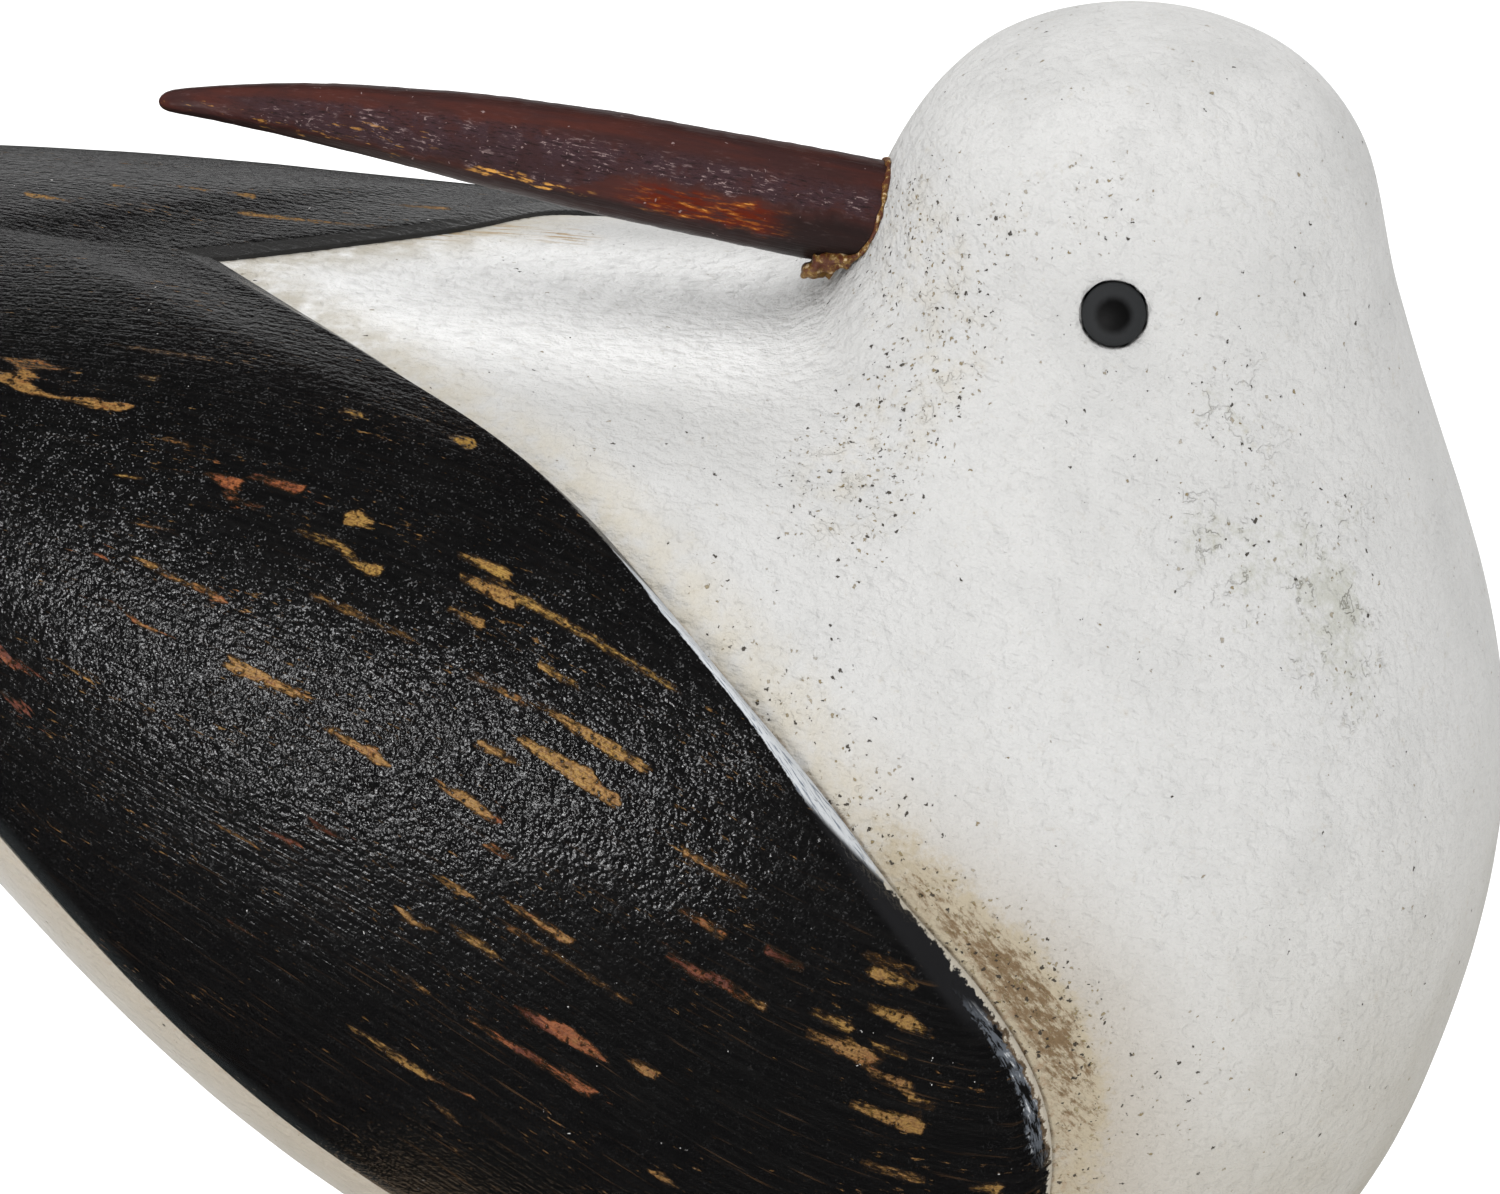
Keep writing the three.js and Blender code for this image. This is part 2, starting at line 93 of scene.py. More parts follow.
# back x, back z, belly x, belly z, half width, back roundness, belly roundness, lift
SECTIONS = np.array([
    [-180.0, 49.5, -180.0, 49.5, 0.01, 2.2, 2.2, 0],
    [-178.5, 51.2, -178.5, 47.6, 10.0, 2.4, 2.4, 0],
    [-170.0, 52.0, -170.0, 45.0, 14.0, 2.5, 2.4, 0],
    [-152.0, 51.4, -152.0, 36.0, 17.5, 2.5, 2.2, 0.1],
    [-126.0, 48.6, -128.0, 15.5, 27.0, 2.6, 2.0, 0.22],
    [-93.0, 45.4, -98.0, -13.5, 40.0, 2.6, 2.1, 0.28],
    [-59.0, 41.8, -64.0, -56.0, 53.0, 2.6, 2.15, 0.25],
    [-22.0, 37.5, -18.0, -91.5, 61.0, 2.5, 2.1, 0.22],
    [0.0, 36.3, 29.0, -105.0, 62.3, 2.3, 2.0, 0.2],
    [5.0, 37.2, 66.5, -83.0, 60.0, 2.2, 2.0, 0.1],
    [7.8, 39.0, 83.5, -46.0, 53.5, 2.1, 2.0, 0],
    [9.6, 41.6, 86.6, -11.0, 45.0, 2.1, 2.0, 0],
    [11.5, 44.6, 78.2, 19.5, 35.0, 2.0, 2.0, 0],
    [13.4, 49.0, 70.8, 41.0, 29.0, 2.0, 2.0, 0],
    [17.0, 56.5, 67.3, 54.5, 25.5, 2.0, 2.0, 0],
    [24.0, 64.4, 60.0, 64.0, 18.2, 2.0, 2.0, 0],
    [32.6, 68.4, 51.0, 68.2, 9.2, 2.0, 2.0, 0],
    [37.2, 69.1, 46.0, 69.0, 4.4, 2.0, 2.0, 0],
    [41.5, 69.3, 41.5, 69.3, 0.01, 2.0, 2.0, 0],
])
LAST_SECTION = len(SECTIONS) - 1
BIRD_FORWARD = 2.0
BIRD_RAISE = 169.3


def smooth_curve(values):
    """Natural cubic through values at 0, 1, 2 and so on. Between two values the curve is the
    straight blend of them plus a bend that grows with the cube of the distance to each end."""
    values = np.asarray(values, float)
    count = len(values)
    balance = np.eye(count)
    rise = np.zeros_like(values)
    inner = np.arange(1, count - 1)
    balance[inner, inner] = 4
    balance[inner, inner - 1] = 1
    balance[inner, inner + 1] = 1
    rise[inner] = 6 * (values[:-2] - 2 * values[1:-1] + values[2:])
    bends = np.linalg.solve(balance, rise)

    def at(t):
        i = np.clip(np.floor(t).astype(int), 0, count - 2)
        f = (t - i)[(...,) + (None,) * (values.ndim - 1)]
        g = 1 - f
        straight = g * values[i] + f * values[i + 1]
        return straight + ((g**3 - g) * bends[i] + (f**3 - f) * bends[i + 1]) / 6

    return at


section_at = smooth_curve(SECTIONS)


def body_point(t, angle):
    """Point of section t at an angle from the back line, in millimetres. The oval's radius is one
    over the power mean of cosine and sine, its level runs from back to belly, lift bows the
    level towards the back, and the section's own middle and reach place it in the bird."""
    t, angle = np.broadcast_arrays(np.asarray(t, float), np.asarray(angle, float))
    parts = np.moveaxis(section_at(t), -1, 0)
    back_x, back_z, belly_x, belly_z, half, back_power, belly_power, lift = parts
    c = np.cos(angle)
    s = np.sin(angle)
    near_back = 0.5 * (1 + c)
    blend = near_back**2 * (3 - 2 * near_back)
    power = back_power * blend + belly_power * (1 - blend)
    radius = (np.abs(c) ** power + np.abs(s) ** power) ** (-1 / power)
    level = -radius * c
    down = level - lift * (1 - level**2)
    x = (back_x + belly_x) / 2 + (belly_x - back_x) / 2 * down + BIRD_FORWARD
    y = np.maximum(half, 0) * radius * s
    z = (back_z + belly_z) / 2 + (belly_z - back_z) / 2 * down + BIRD_RAISE
    return np.stack((x, y, z), -1)


def unit(vectors):
    """Vectors divided by their own length."""
    return vectors / np.maximum(np.linalg.norm(vectors, axis=-1, keepdims=True), 1e-12)


def body_normal(t, angle):
    """Outward direction: the cross product of a short chord along the bird and one round it."""
    step = 0.01
    high = np.minimum(t + step, LAST_SECTION)
    low = np.maximum(t - step, 0)
    along = body_point(high, angle) - body_point(low, angle)
    around = body_point(t, angle + step) - body_point(t, angle - step)
    return unit(np.cross(along, around))


print("breast is at x =", round(body_point(np.array(11.0), np.array(HALF_TURN))[0], 1), "mm")

# %% [markdown]
# ## Uneven surfaces
#
# Nothing on a hand carving is exactly even. A soft noise in space gives slow hollows and swells:
# random heights on a cubic lattice, blended smoothly between the eight corners round a point.
# The seed is fixed, so the statue comes out the same each time.

# %% Soft noise


def soft_noise(points, size, seed):
    """Smooth random value between -1 and 1 at each point: lattice heights spaced by size, blended
    between the eight nearest corners with weights that ease in and out."""
    lattice = np.random.default_rng(seed).uniform(-1, 1, (32, 32, 32))
    scaled = np.asarray(points) / size + 100
    corner = np.floor(scaled).astype(int)
    f = scaled - corner
    f = f * f * (3 - 2 * f)
    total = np.zeros(scaled.shape[:-1])
    for dx in (0, 1):
        for dy in (0, 1):
            for dz in (0, 1):
                step = np.array([dx, dy, dz])
                index = (corner + step) % 32
                weight = np.prod(np.where(step == 1, f, 1 - f), axis=-1)
                total += weight * lattice[index[..., 0], index[..., 1], index[..., 2]]
    return total


def soft_spot(points, centre, size):
    """One at the centre, falling smoothly to nothing at size: one less the squared share of the
    distance, squared."""
    away_from = np.linalg.norm((points - centre) / size, axis=-1)
    return np.clip(1 - away_from**2, 0, 1) ** 2


# %% [markdown]
# ## Making a mesh from a grid
#
# Each piece is a grid of points, row by row. The grid runs round the piece, so its last column
# joins its first, and where it ends in a tip, one more point closes it. The faces are numbered
# with array arithmetic, and a face that has shrunk to a line is dropped.

# %% Grid to mesh


def grid_faces(rows, columns):
    """Four-cornered faces between neighbouring rows and columns. The last column joins the
    first, because every grid here runs all the way round its piece."""
    row, column = np.meshgrid(np.arange(rows - 1), np.arange(columns), indexing="ij")
    right = (column + 1) % columns
    corners = (row * columns + column, row * columns + right,
               (row + 1) * columns + right, (row + 1) * columns + column)
    return np.stack(corners, -1).reshape(-1, 4)


def tip_faces(ring, tip):
    """Three-cornered faces from each pair of neighbours in a ring to one tip point."""
    return np.stack((ring, np.roll(ring, -1), np.full(len(ring), tip)), -1)


def build_piece(name, points, faces, values=None):
    """Mesh object from points in millimetres and a list of faces, with a number at each point
    for every name in values. Its place is in its mesh, so the object stays at the origin."""
    mesh = bpy.data.meshes.new(name)
    corner_count = np.array([len(f) for f in faces])
    mesh.from_pydata((points * MM).tolist(), [], [f.tolist() for f in faces])
    mesh.validate()
    mesh.polygons.foreach_set("use_smooth", np.full(len(mesh.polygons), True))
    for label, numbers in (values or {}).items():
        attribute = mesh.attributes.new(label, "FLOAT", "POINT")
        attribute.data.foreach_set("value", np.asarray(numbers, np.float32).ravel())
    mesh.update()
    piece = bpy.data.objects.new(name, mesh)
    bpy.context.scene.collection.objects.link(piece)
    triangles = int((corner_count - 2).sum())
    print(f"{name}: {len(points)} points, {triangles} triangles")
    return piece


# %% [markdown]
# ## The raised wings
#
# On the real bird the black wings stand a few millimetres above the white body, with a sloping
# edge that the knife left. Each wing is a fan of ribs, which run from the back line out to the
# drawn outline. The outline is written as section and degrees, so it lies on the carved surface
# by itself. Across a rib the wing keeps its height as far as the rim, then slopes to the crease.

# %% Wing outline

WING_FRONT = {
    "near": [[6.0, 0], [6.28, 11.8], [6.57, 21.8], [6.82, 29.6], [7.08, 36.4]],
    "far": [[6.0, 0], [6.28, 6.6], [6.52, 12.6], [6.77, 20.6], [7.02, 33.0]],
}
WING_REST = [
    [7.33, 44.4], [7.6, 52.8], [7.88, 60.4], [8.15, 67.8], [8.38, 75.9], [8.6, 84.0],
    [8.7, 93.6], [8.64, 103.0], [8.42, 113.5], [8.05, 123.0], [7.5, 129.2], [6.9, 131.4],
    [6.4, 130.2], [6.03, 126.9], [5.7, 122.6], [5.3, 116.8], [4.85, 110.0], [4.35, 102.0],
    [3.8, 92.5], [3.25, 81.0], [2.7, 68.0], [2.2, 54.0], [1.8, 41.0], [1.95, 30.0],
    [2.3, 19.0], [2.6, 9.0], [2.8, 0],
]
EDGE_HEIGHT = [1.0, 1.3, 2.2, 3.0, 2.7, 2.2, 1.9, 1.9, 1.9, 1.8, 1.6]
EDGE_WIDTH = [6.0, 2.4, 2.5, 4.3, 4.0, 3.0, 2.4, 2.4, 2.2, 2.0, 1.8]
BACK_HEIGHT = 1.5
WING_SINK = 2.4
WIDEST_SLOPE_SHARE = 0.6
SMALLEST_RIB_SINE = 0.25
CHORD_STEP = 0.004
NEAR_EDGE = 0.95


def stretched(values):
    """The smooth curve with its parameter running from 0 to 1."""
    curve = smooth_curve(values)
    return lambda u: curve(np.asarray(u, float) * (len(values) - 1))


edge_height = stretched(EDGE_HEIGHT)
edge_width = stretched(EDGE_WIDTH)
outlines = {side: stretched(WING_FRONT[side] + WING_REST) for side in SIDES}


def wing_place(side, u, q):
    """Section and signed angle at share q of rib u: the rib's start on the back line moved by
    that share towards the outline, while the angle grows from nothing to the outline's."""
    edge = outlines[side](u)
    first, last = WING_REST[-1][0], WING_FRONT[side][0][0]
    middle = last + (first - last) * u
    return middle + (edge[..., 0] - middle) * q, SIDES[side] * edge[..., 1] * q * DEGREE


def rib_reach(side, u):
    """Length of a rib times the sine of its angle to the outline, which is how far the outline
    is from the back line square to itself."""
    full = np.ones_like(u)
    root = body_point(*wing_place(side, u, 0 * full))
    edge = body_point(*wing_place(side, u, full))
    inside = body_point(*wing_place(side, u, NEAR_EDGE * full))
    before = body_point(*wing_place(side, np.maximum(u - CHORD_STEP, 0), full))
    after = body_point(*wing_place(side, np.minimum(u + CHORD_STEP, 1), full))
    crossed = np.cross(unit(inside - edge), unit(after - before))
    sine = np.linalg.norm(crossed, axis=-1)
    return np.linalg.norm(edge - root, axis=-1) * np.maximum(sine, SMALLEST_RIB_SINE)


outline_line = {
    side: body_point(*wing_place(side, np.linspace(0, 1, 500), np.ones(500))) for side in SIDES
}
for side, line in outline_line.items():
    length = np.linalg.norm(np.diff(line, axis=0), axis=-1).sum()
    print(f"{side} wing outline is {length:.0f} mm long")

# %% [markdown]
# ## The body
#
# The body is one closed skin over all sections, with rows set closer together on the head. The
# surface sinks a little along the wing outline, where the knife left a groove. For each eye the
# points nearest to the drilled circle move onto it, and those inside go down to the bottom of
# the hole, so the rim stays sharp without any cutting tool.

# %% Rows and columns of the body

BODY_ROWS = 330
BODY_COLUMNS = 290
HEAD_ROW_DENSITY = 1.7
HEAD_SECTION = 11


def body_rows():
    """Sections spaced by length along the bird: the running length of the longest meridian,
    counted more heavily on the head, cut into equal parts."""
    t = np.linspace(0, LAST_SECTION, 4000)
    meridians = body_point(t[:, None], np.linspace(0, HALF_TURN, 9)[None, :])
    length = np.linalg.norm(np.diff(meridians, axis=0), axis=-1).max(axis=1)
    density = 1 + (HEAD_ROW_DENSITY - 1) * np.clip(t[1:] - HEAD_SECTION, 0, 1)
    run = np.concatenate(([0], np.cumsum(length * density)))
    return np.interp(np.linspace(0, run[-1], BODY_ROWS + 2)[1:-1], run, t)


rows = body_rows()
columns = -2 * HALF_TURN * np.arange(BODY_COLUMNS) / BODY_COLUMNS
skin = body_point(rows[:, None], columns[None, :])
skin_normal = body_normal(rows[:, None], columns[None, :])
print("rows on the head:", int((rows > HEAD_SECTION).sum()), "of", BODY_ROWS)

# %% Distance to the wing outline


def distance_to_lines(points, lines, chunk=8000):
    """Distance from each point to the nearest point of any line: the square root of the smallest
    squared length, which is both squared lengths less twice the dot product."""
    targets = np.concatenate(lines)
    out = np.empty(len(points))
    own = (targets**2).sum(-1)
    for start in range(0, len(points), chunk):
        part = points[start:start + chunk]
        squared = (part**2).sum(-1)[:, None] - 2 * part @ targets.T + own
        out[start:start + chunk] = np.sqrt(np.maximum(squared.min(axis=1), 0))
    return out


edge_distance = distance_to_lines(skin.reshape(-1, 3), list(outline_line.values()))
edge_distance = edge_distance.reshape(skin.shape[:2])
print("points within 5 mm of a wing:", int((edge_distance < 5).sum()))

# %% Groove, swells and eye sockets

GROOVE_DEPTH = 0.4
GROOVE_WIDTH = 2.5
SWELL_DEPTH = 0.14
EYE_SECTION = 13.15
EYE_DEGREES = 81.3
SOCKET_RADIUS = 3.65
SOCKET_BAND = 0.5
SOCKET_LEDGE = 0.05
SOCKET_DEPTH = 3.0

groove = GROOVE_DEPTH * np.exp(-((edge_distance / GROOVE_WIDTH) ** 2))
swell = SWELL_DEPTH * (1 + 0.7 * soft_noise(skin, 15, 1) + 0.3 * soft_noise(skin, 5, 2))
skin = skin - skin_normal * (groove + swell)[..., None]
hollow = np.zeros(skin.shape[:2])


def eye_frame(side):
    """Centre of an eye on the skin and the direction it looks in."""
    section = np.array(EYE_SECTION)
    angle = np.array(SIDES[side] * EYE_DEGREES * DEGREE)
    out = body_normal(section, angle)
    return body_point(section, angle) - SWELL_DEPTH * out, out


for side in SIDES:
    centre, out = eye_frame(side)
    offset = skin - centre
    height = offset @ out
    flat = offset - height[..., None] * out
    radius = np.linalg.norm(flat, axis=-1)
    close = (radius < 3 * SOCKET_RADIUS) & (np.abs(height) < SOCKET_RADIUS)
    rim = close & (np.abs(radius - SOCKET_RADIUS) < SOCKET_BAND)
    inner = close & (radius < SOCKET_RADIUS - SOCKET_BAND)
    skin[rim] += ((SOCKET_RADIUS / radius[rim] - 1)[:, None]) * flat[rim]
    spread = (SOCKET_RADIUS - SOCKET_LEDGE) / (SOCKET_RADIUS - SOCKET_BAND)
    skin[inner] = centre + spread * flat[inner] - SOCKET_DEPTH * out
    hollow[inner] = 1
    print(f"{side} socket: {int(rim.sum())} points on the rim, {int(inner.sum())} inside")

# %% Wing ribs and columns

WING_RIBS = 420
TOP_COLUMNS = 96
WALL_SHARES = np.array([1.5, 1.25, 1.1, 1.0, 0.9, 0.75, 0.55, 0.35, 0.15, 0.0])
UNDER_COLUMNS = 8
RIM_SHARPNESS = 10
WING_SWELL = 0.12
NOTCH_HEIGHT = 0.7
FRONT_FLATTENING = {"near": 0.2, "far": 0.55}
FLAT_SPAN = 0.2


def rib_shares(side, u):
    """Shares across a rib: even steps over the top, then the given shares of the sloping edge's
    width from above the rim down to the crease."""
    reach = rib_reach(side, u)
    slope = np.minimum(edge_width(u) / reach, WIDEST_SLOPE_SHARE)
    top_end = 1 - WALL_SHARES[0] * slope
    top = top_end[:, None] * np.linspace(0, 1, TOP_COLUMNS, endpoint=False)[None, :]
    wall = 1 - slope[:, None] * WALL_SHARES[None, :]
    return np.concatenate((top, wall), axis=1), reach


def wing_half(side):
    """Top, foot and underside of one half of the wings. The height is the share of the way up
    the slope, held to one by a soft minimum, times a height that goes from the back line's to
    the edge's with the square of the share. The far wing is sanded flatter at its front."""
    u = np.arange(1, WING_RIBS) / WING_RIBS
    q, reach = rib_shares(side, u)
    place = wing_place(side, u[:, None] + 0 * q, q)
    climb = (1 - q) * reach[:, None] / edge_width(u)[:, None]
    soft = climb / (1 + climb**RIM_SHARPNESS) ** (1 / RIM_SHARPNESS)
    rim = edge_height(u) * (1 - FRONT_FLATTENING[side] * np.exp(-((u / FLAT_SPAN) ** 4)))
    back = BACK_HEIGHT - (BACK_HEIGHT - NOTCH_HEIGHT) * np.exp(-((u / FLAT_SPAN) ** 4))
    full = back[:, None] + (rim - back)[:, None] * q**2
    ground = body_point(*place)
    out = body_normal(*place)
    swell = WING_SWELL * (1 + 0.6 * soft_noise(ground, 18, 3) + 0.4 * soft_noise(ground, 6, 4))
    top = ground + out * ((full - swell) * soft)[..., None]
    under_q = np.linspace(1, 0, UNDER_COLUMNS + 1)[None, :] + 0 * u[:, None]
    under_place = wing_place(side, u[:, None] + 0 * under_q, under_q)
    under = body_point(*under_place) - WING_SINK * body_normal(*under_place)
    return {"u": u, "section": place[0], "angle": place[1], "climb": climb, "top": top,
            "under": under}


halves = {side: wing_half(side) for side in SIDES}
for side, half in halves.items():
    print(f"{side} wing: {half['top'].shape[0]} ribs of {half['top'].shape[1]} points")

# %% [markdown]
# ## Where the black paint has worn through
#
# The sanded streaks follow the grain of the carving, which runs nearly along the bird and leans
# down a little towards the breast. To place them, the wing gets a flat chart in millimetres:
# one measure along the grain and one across it. A streak is a short line in that chart with a
# width. The mesh stores the square of half its width less the squared distance to the line,
# because a squared distance survives the blending between mesh points better than a distance.

# %% Chart along the grain

CHART_RADIUS = 60.0
LEAN_START = 6.2
LEAN_RISE = 0.35
LEAN_LIMITS = (-0.2, 0.35)

chart_t = np.linspace(0, LAST_SECTION, 900)
chart_angles = np.linspace(0, HALF_TURN, 61)
chart_skin = body_point(chart_t[:, None], chart_angles[None, :])
chart_steps = np.linalg.norm(np.diff(chart_skin, axis=0), axis=-1)
chart_length = np.concatenate((np.zeros((1, len(chart_angles))), np.cumsum(chart_steps, axis=0)))
lean = np.clip(LEAN_RISE * (chart_t - LEAN_START), *LEAN_LIMITS)
flank_steps = np.concatenate(([0], chart_steps[:, len(chart_angles) // 2]))
chart_drift = np.cumsum(lean * flank_steps)


def chart_place(section, angle):
    """Millimetres along and across the grain: the running length of the meridian, blended between
    the two nearest angles of the chart, and the angle less the lean, times a fixed radius."""
    turn = np.abs(angle) / HALF_TURN * (len(chart_angles) - 1)
    low = np.clip(np.floor(turn).astype(int), 0, len(chart_angles) - 2)
    f = turn - low
    row = np.asarray(section) / LAST_SECTION * (len(chart_t) - 1)
    below = np.clip(np.floor(row).astype(int), 0, len(chart_t) - 2)
    g = row - below
    first = (1 - g) * chart_length[below, low] + g * chart_length[below + 1, low]
    second = (1 - g) * chart_length[below, low + 1] + g * chart_length[below + 1, low + 1]
    drift = np.interp(section, chart_t, chart_drift) * DEGREE
    return (1 - f) * first + f * second, CHART_RADIUS * (np.abs(angle) - drift)


# %% Worn streaks

# Section, degrees, length and width in millimetres, and how red the bared wood is
STREAKS = np.array([
    [5.6, 35.5, 4.7, 0.8, 0.4], [5.7, 40, 10.4, 1.5, 0.4], [5.84, 28, 4.5, 0.4, 0.3],
    [6.0, 27.5, 5, 0.4, 0.3], [5.9, 33, 3.1, 0.8, 0], [6.0, 42, 3.1, 0.8, 0.3],
    [5.9, 49, 2.1, 0.8, 0.1], [6.14, 45.5, 2.6, 1.5, 0.8], [6.28, 44, 5.5, 1.1, 0.8],
    [6.21, 47.7, 3.3, 0.5, 0.7], [6.46, 32, 1.9, 0.8, 0], [6.76, 32.7, 1.5, 1.5, 0],
    [6.51, 46, 2, 1.7, 0.1], [6.41, 49.4, 4.7, 0.8, 0.1], [6.53, 51.3, 2.4, 1.4, 0.1],
    [5.97, 59.7, 2.3, 1.1, 0.3], [6.06, 60.1, 4.7, 0.6, 0.4], [6.13, 60.3, 3.2, 1.2, 0.5],
    [5.97, 54.6, 4.1, 0.6, 0.4], [5.83, 61.3, 1, 1.2, 0.7], [5.86, 67.4, 2.1, 0.9, 0.7],
    [6.0, 67.8, 3.5, 1, 0.6], [6.43, 56.4, 5, 0.7, 0.3], [6.57, 57.2, 7.3, 0.5, 0.3],
    [6.31, 68, 9.4, 1.6, 0.3], [6.45, 70.7, 2.1, 0.7, 0.3], [6.53, 71.5, 5.1, 1.4, 0.5],
    [5.64, 83.8, 5.1, 1.6, 1], [5.78, 79.3, 5, 1.1, 0.3], [5.6, 90.5, 2.5, 1.7, 1],
    [5.67, 105.4, 5, 0.6, 0.3], [6.21, 89, 5.5, 0.8, 0.4], [6.33, 86.3, 4.6, 1, 0.9],
    [6.44, 82.8, 4.5, 0.9, 0.9], [6.77, 72.7, 4.7, 1.3, 0.4], [6.85, 73.9, 2.8, 0.8, 0.8],
    [6.88, 77.4, 3.3, 0.8, 0.6], [6.84, 47.7, 5.1, 1.2, 0.1], [6.85, 50.2, 5.3, 1.5, 0.3],
    [7.18, 53.4, 19, 0.8, 0.1], [6.8, 53.8, 3.6, 0.9, 0.2], [6.88, 60.4, 6.3, 0.6, 0.4],
    [7.06, 57.6, 4.2, 0.8, 0.2], [7.12, 62.5, 8.3, 1.3, 0.3], [7.27, 64.3, 3.8, 1, 0.3],
    [6.89, 67.1, 4.5, 1, 0.3], [7.04, 66.1, 8, 1.8, 0.3], [7.15, 67.9, 5.6, 1.3, 0.4],
    [7.54, 73.6, 7.5, 0.7, 0.3], [7.47, 79, 5.4, 0.8, 0.5], [6.75, 83, 4.2, 1, 0.3],
    [6.66, 88.9, 4.6, 1.1, 0.3], [6.8, 88.2, 6.2, 1, 0.3], [6.97, 83.4, 7.9, 1, 0.4],
    [7.05, 86.9, 16, 0.5, 0.4], [6.64, 95.9, 5.4, 0.5, 0.3], [6.83, 97.5, 7.1, 0.6, 0.5],
    [6.96, 98.6, 5, 1, 0.9], [7.04, 99.4, 6.1, 1.2, 0.7], [6.94, 94, 3.4, 1.1, 0.9],
    [7.08, 95.1, 5.6, 1.7, 0.6], [7.24, 95.5, 3, 1.3, 0.5], [6.58, 105.4, 9.7, 1.1, 0.1],
    [6.69, 106.1, 1.9, 0.9, 0.6], [6.77, 105.9, 1.9, 1, 0.6], [6.72, 109.3, 4.2, 0.8, 0.3],
    [7.54, 84.8, 1.9, 1.1, 1], [7.61, 85.9, 3.8, 0.7, 0.4], [8.21, 80.8, 5.2, 0.6, 0.3],
    [8.22, 82.6, 4.8, 1.2, 0.1], [7.9, 86.7, 4.8, 1, 0.1], [8.15, 85.9, 4.6, 1.4, 0.1],
    [8.26, 87.4, 3.6, 0.8, 0.1], [7.89, 89.1, 5.9, 1.4, 0.4], [7.99, 89.9, 3.8, 1, 0.6],
    [8.12, 89.5, 4, 0.6, 0.1], [8.08, 92.3, 4.7, 1, 0.3], [8.03, 96, 7.9, 1.5, 0.15],
    [8.2, 94.7, 3.4, 0.6, 0.1], [8.0, 101.6, 7.3, 0.8, 0.15], [8.33, 103.9, 3, 1.1, 0.1],
    [7.28, 106.8, 3.5, 0.9, 0.3], [6.22, 100.5, 3, 0.7, 1], [7.4, 83.7, 4.1, 1, 0.9],
    [7.76, 81.3, 4.2, 0.8, 1],
])
FAR_STREAKS = np.array([
    [5.67, 17.5, 3.3, 1.1, 0.3], [5.87, 18.7, 4.0, 0.9, 0.3], [6.03, 18, 2.2, 1.1, 0.3],
    [6.3, 13, 19, 0.95, 0.35], [6.55, 21.7, 6.5, 1.0, 0.3], [6.42, 9, 9, 0.9, 0.15],
    [5.45, 11.4, 4.5, 1.4, 0.3],
])
FAR_LIST_ABOVE = 36.0
REAR_MIRROR = 11.1
FAR_MIRROR = 13.2
FAR_REAR_SHIFT = 2.6
NO_WEAR = -4.0
PLAIN_RED = 0.3
STREAK_FULLNESS = 1.05
STREAK_TAPER = 0.5


def streaks_of(side):
    """The streaks of one wing. The near wing has them as listed and again, turned round, on its
    rear. The far wing has a few of its own near the back line, and lower down the same ones,
    turned round in front and shifted towards the tail behind."""
    turned = STREAKS.copy()
    if side == "near":
        turned[:, 0] = REAR_MIRROR - STREAKS[:, 0]
        return np.concatenate((STREAKS, turned))
    shifted = STREAKS.copy()
    turned[:, 0] = FAR_MIRROR - STREAKS[:, 0]
    shifted[:, 0] = STREAKS[:, 0] - FAR_REAR_SHIFT
    both = np.concatenate((turned, shifted))
    return np.concatenate((FAR_STREAKS, both[both[:, 1] > FAR_LIST_ABOVE]))


def wear_field(along, across, streaks):
    """Half width squared less squared distance to the nearest streak, and how red that one is.
    Each streak is wide at one end and thin at the other, by turns at its front and its rear."""
    field = np.full(along.shape, NO_WEAR)
    red = np.full(along.shape, PLAIN_RED)
    centres = chart_place(streaks[:, 0], streaks[:, 1] * DEGREE)
    for index, (start, level, row) in enumerate(zip(*centres, streaks[:, 2:])):
        length, width, tint = row
        thick_end = 1 if index % 3 else -1
        share = np.clip((along - start) / (length / 2), -1, 1)
        half_width = width / 2 * (STREAK_FULLNESS + STREAK_TAPER * thick_end * share)
        beyond = np.maximum(np.abs(along - start) - length / 2, 0)
        value = half_width**2 - beyond**2 - (across - level) ** 2
        red = np.where(value > field, tint, red)
        field = np.maximum(field, value)
    return field, red


for side, half in halves.items():
    half["along"], half["across"] = chart_place(half["section"], half["angle"])
    half["wear"], half["red"] = wear_field(half["along"], half["across"], streaks_of(side))
    print(f"{side} wing: {(half['wear'] > 0).mean():.1%} of its points lie in a worn streak")

# %% Wing mesh

# Where glints are painted on the black paint: section, degrees, size in millimetres and strength
GLINT_SPOT_LIST = [[5.83, 48.0, 12, 0.6], [5.97, 56.0, 14, 0.7], [5.92, 71.5, 14, 0.9],
        [6.11, 73.7, 14, 1.0], [6.19, 60.0, 13, 0.7], [6.37, 74.2, 14, 1.0],
        [6.42, 61.0, 13, 0.8], [6.59, 72.2, 14, 1.0], [6.62, 59.3, 13, 0.8], [6.8, 71.5, 14, 1.0],
        [6.84, 61.0, 13, 0.9], [7.06, 66.2, 14, 0.9], [7.07, 53.5, 10, 0.7], [7.3, 68.5, 13, 0.8],
        [7.35, 60.2, 10, 0.7], [7.49, 73.5, 12, 0.5], [5.71, 64.7, 12, 0.8],
        [5.63, 52.0, 12, 0.6], [7.6, 63.3, 9, 0.8]]


def gathered(points, spots, sides=SIDES):
    """Strongest soft spot at each point, on both sides of the bird or on one."""
    total = np.zeros(points.shape[:-1])
    for section, degrees, size, strength in spots:
        for sign in (SIDES[side] for side in sides):
            centre = body_point(np.array(section), np.array(sign * degrees * DEGREE))
            total = np.maximum(total, strength * soft_spot(points, centre, size))
    return total


# Painted glints: how strongly each wing point lies in a glint spot
for half in halves.values():
    half["grit_and_glint"] = gathered(half["top"], GLINT_SPOT_LIST)


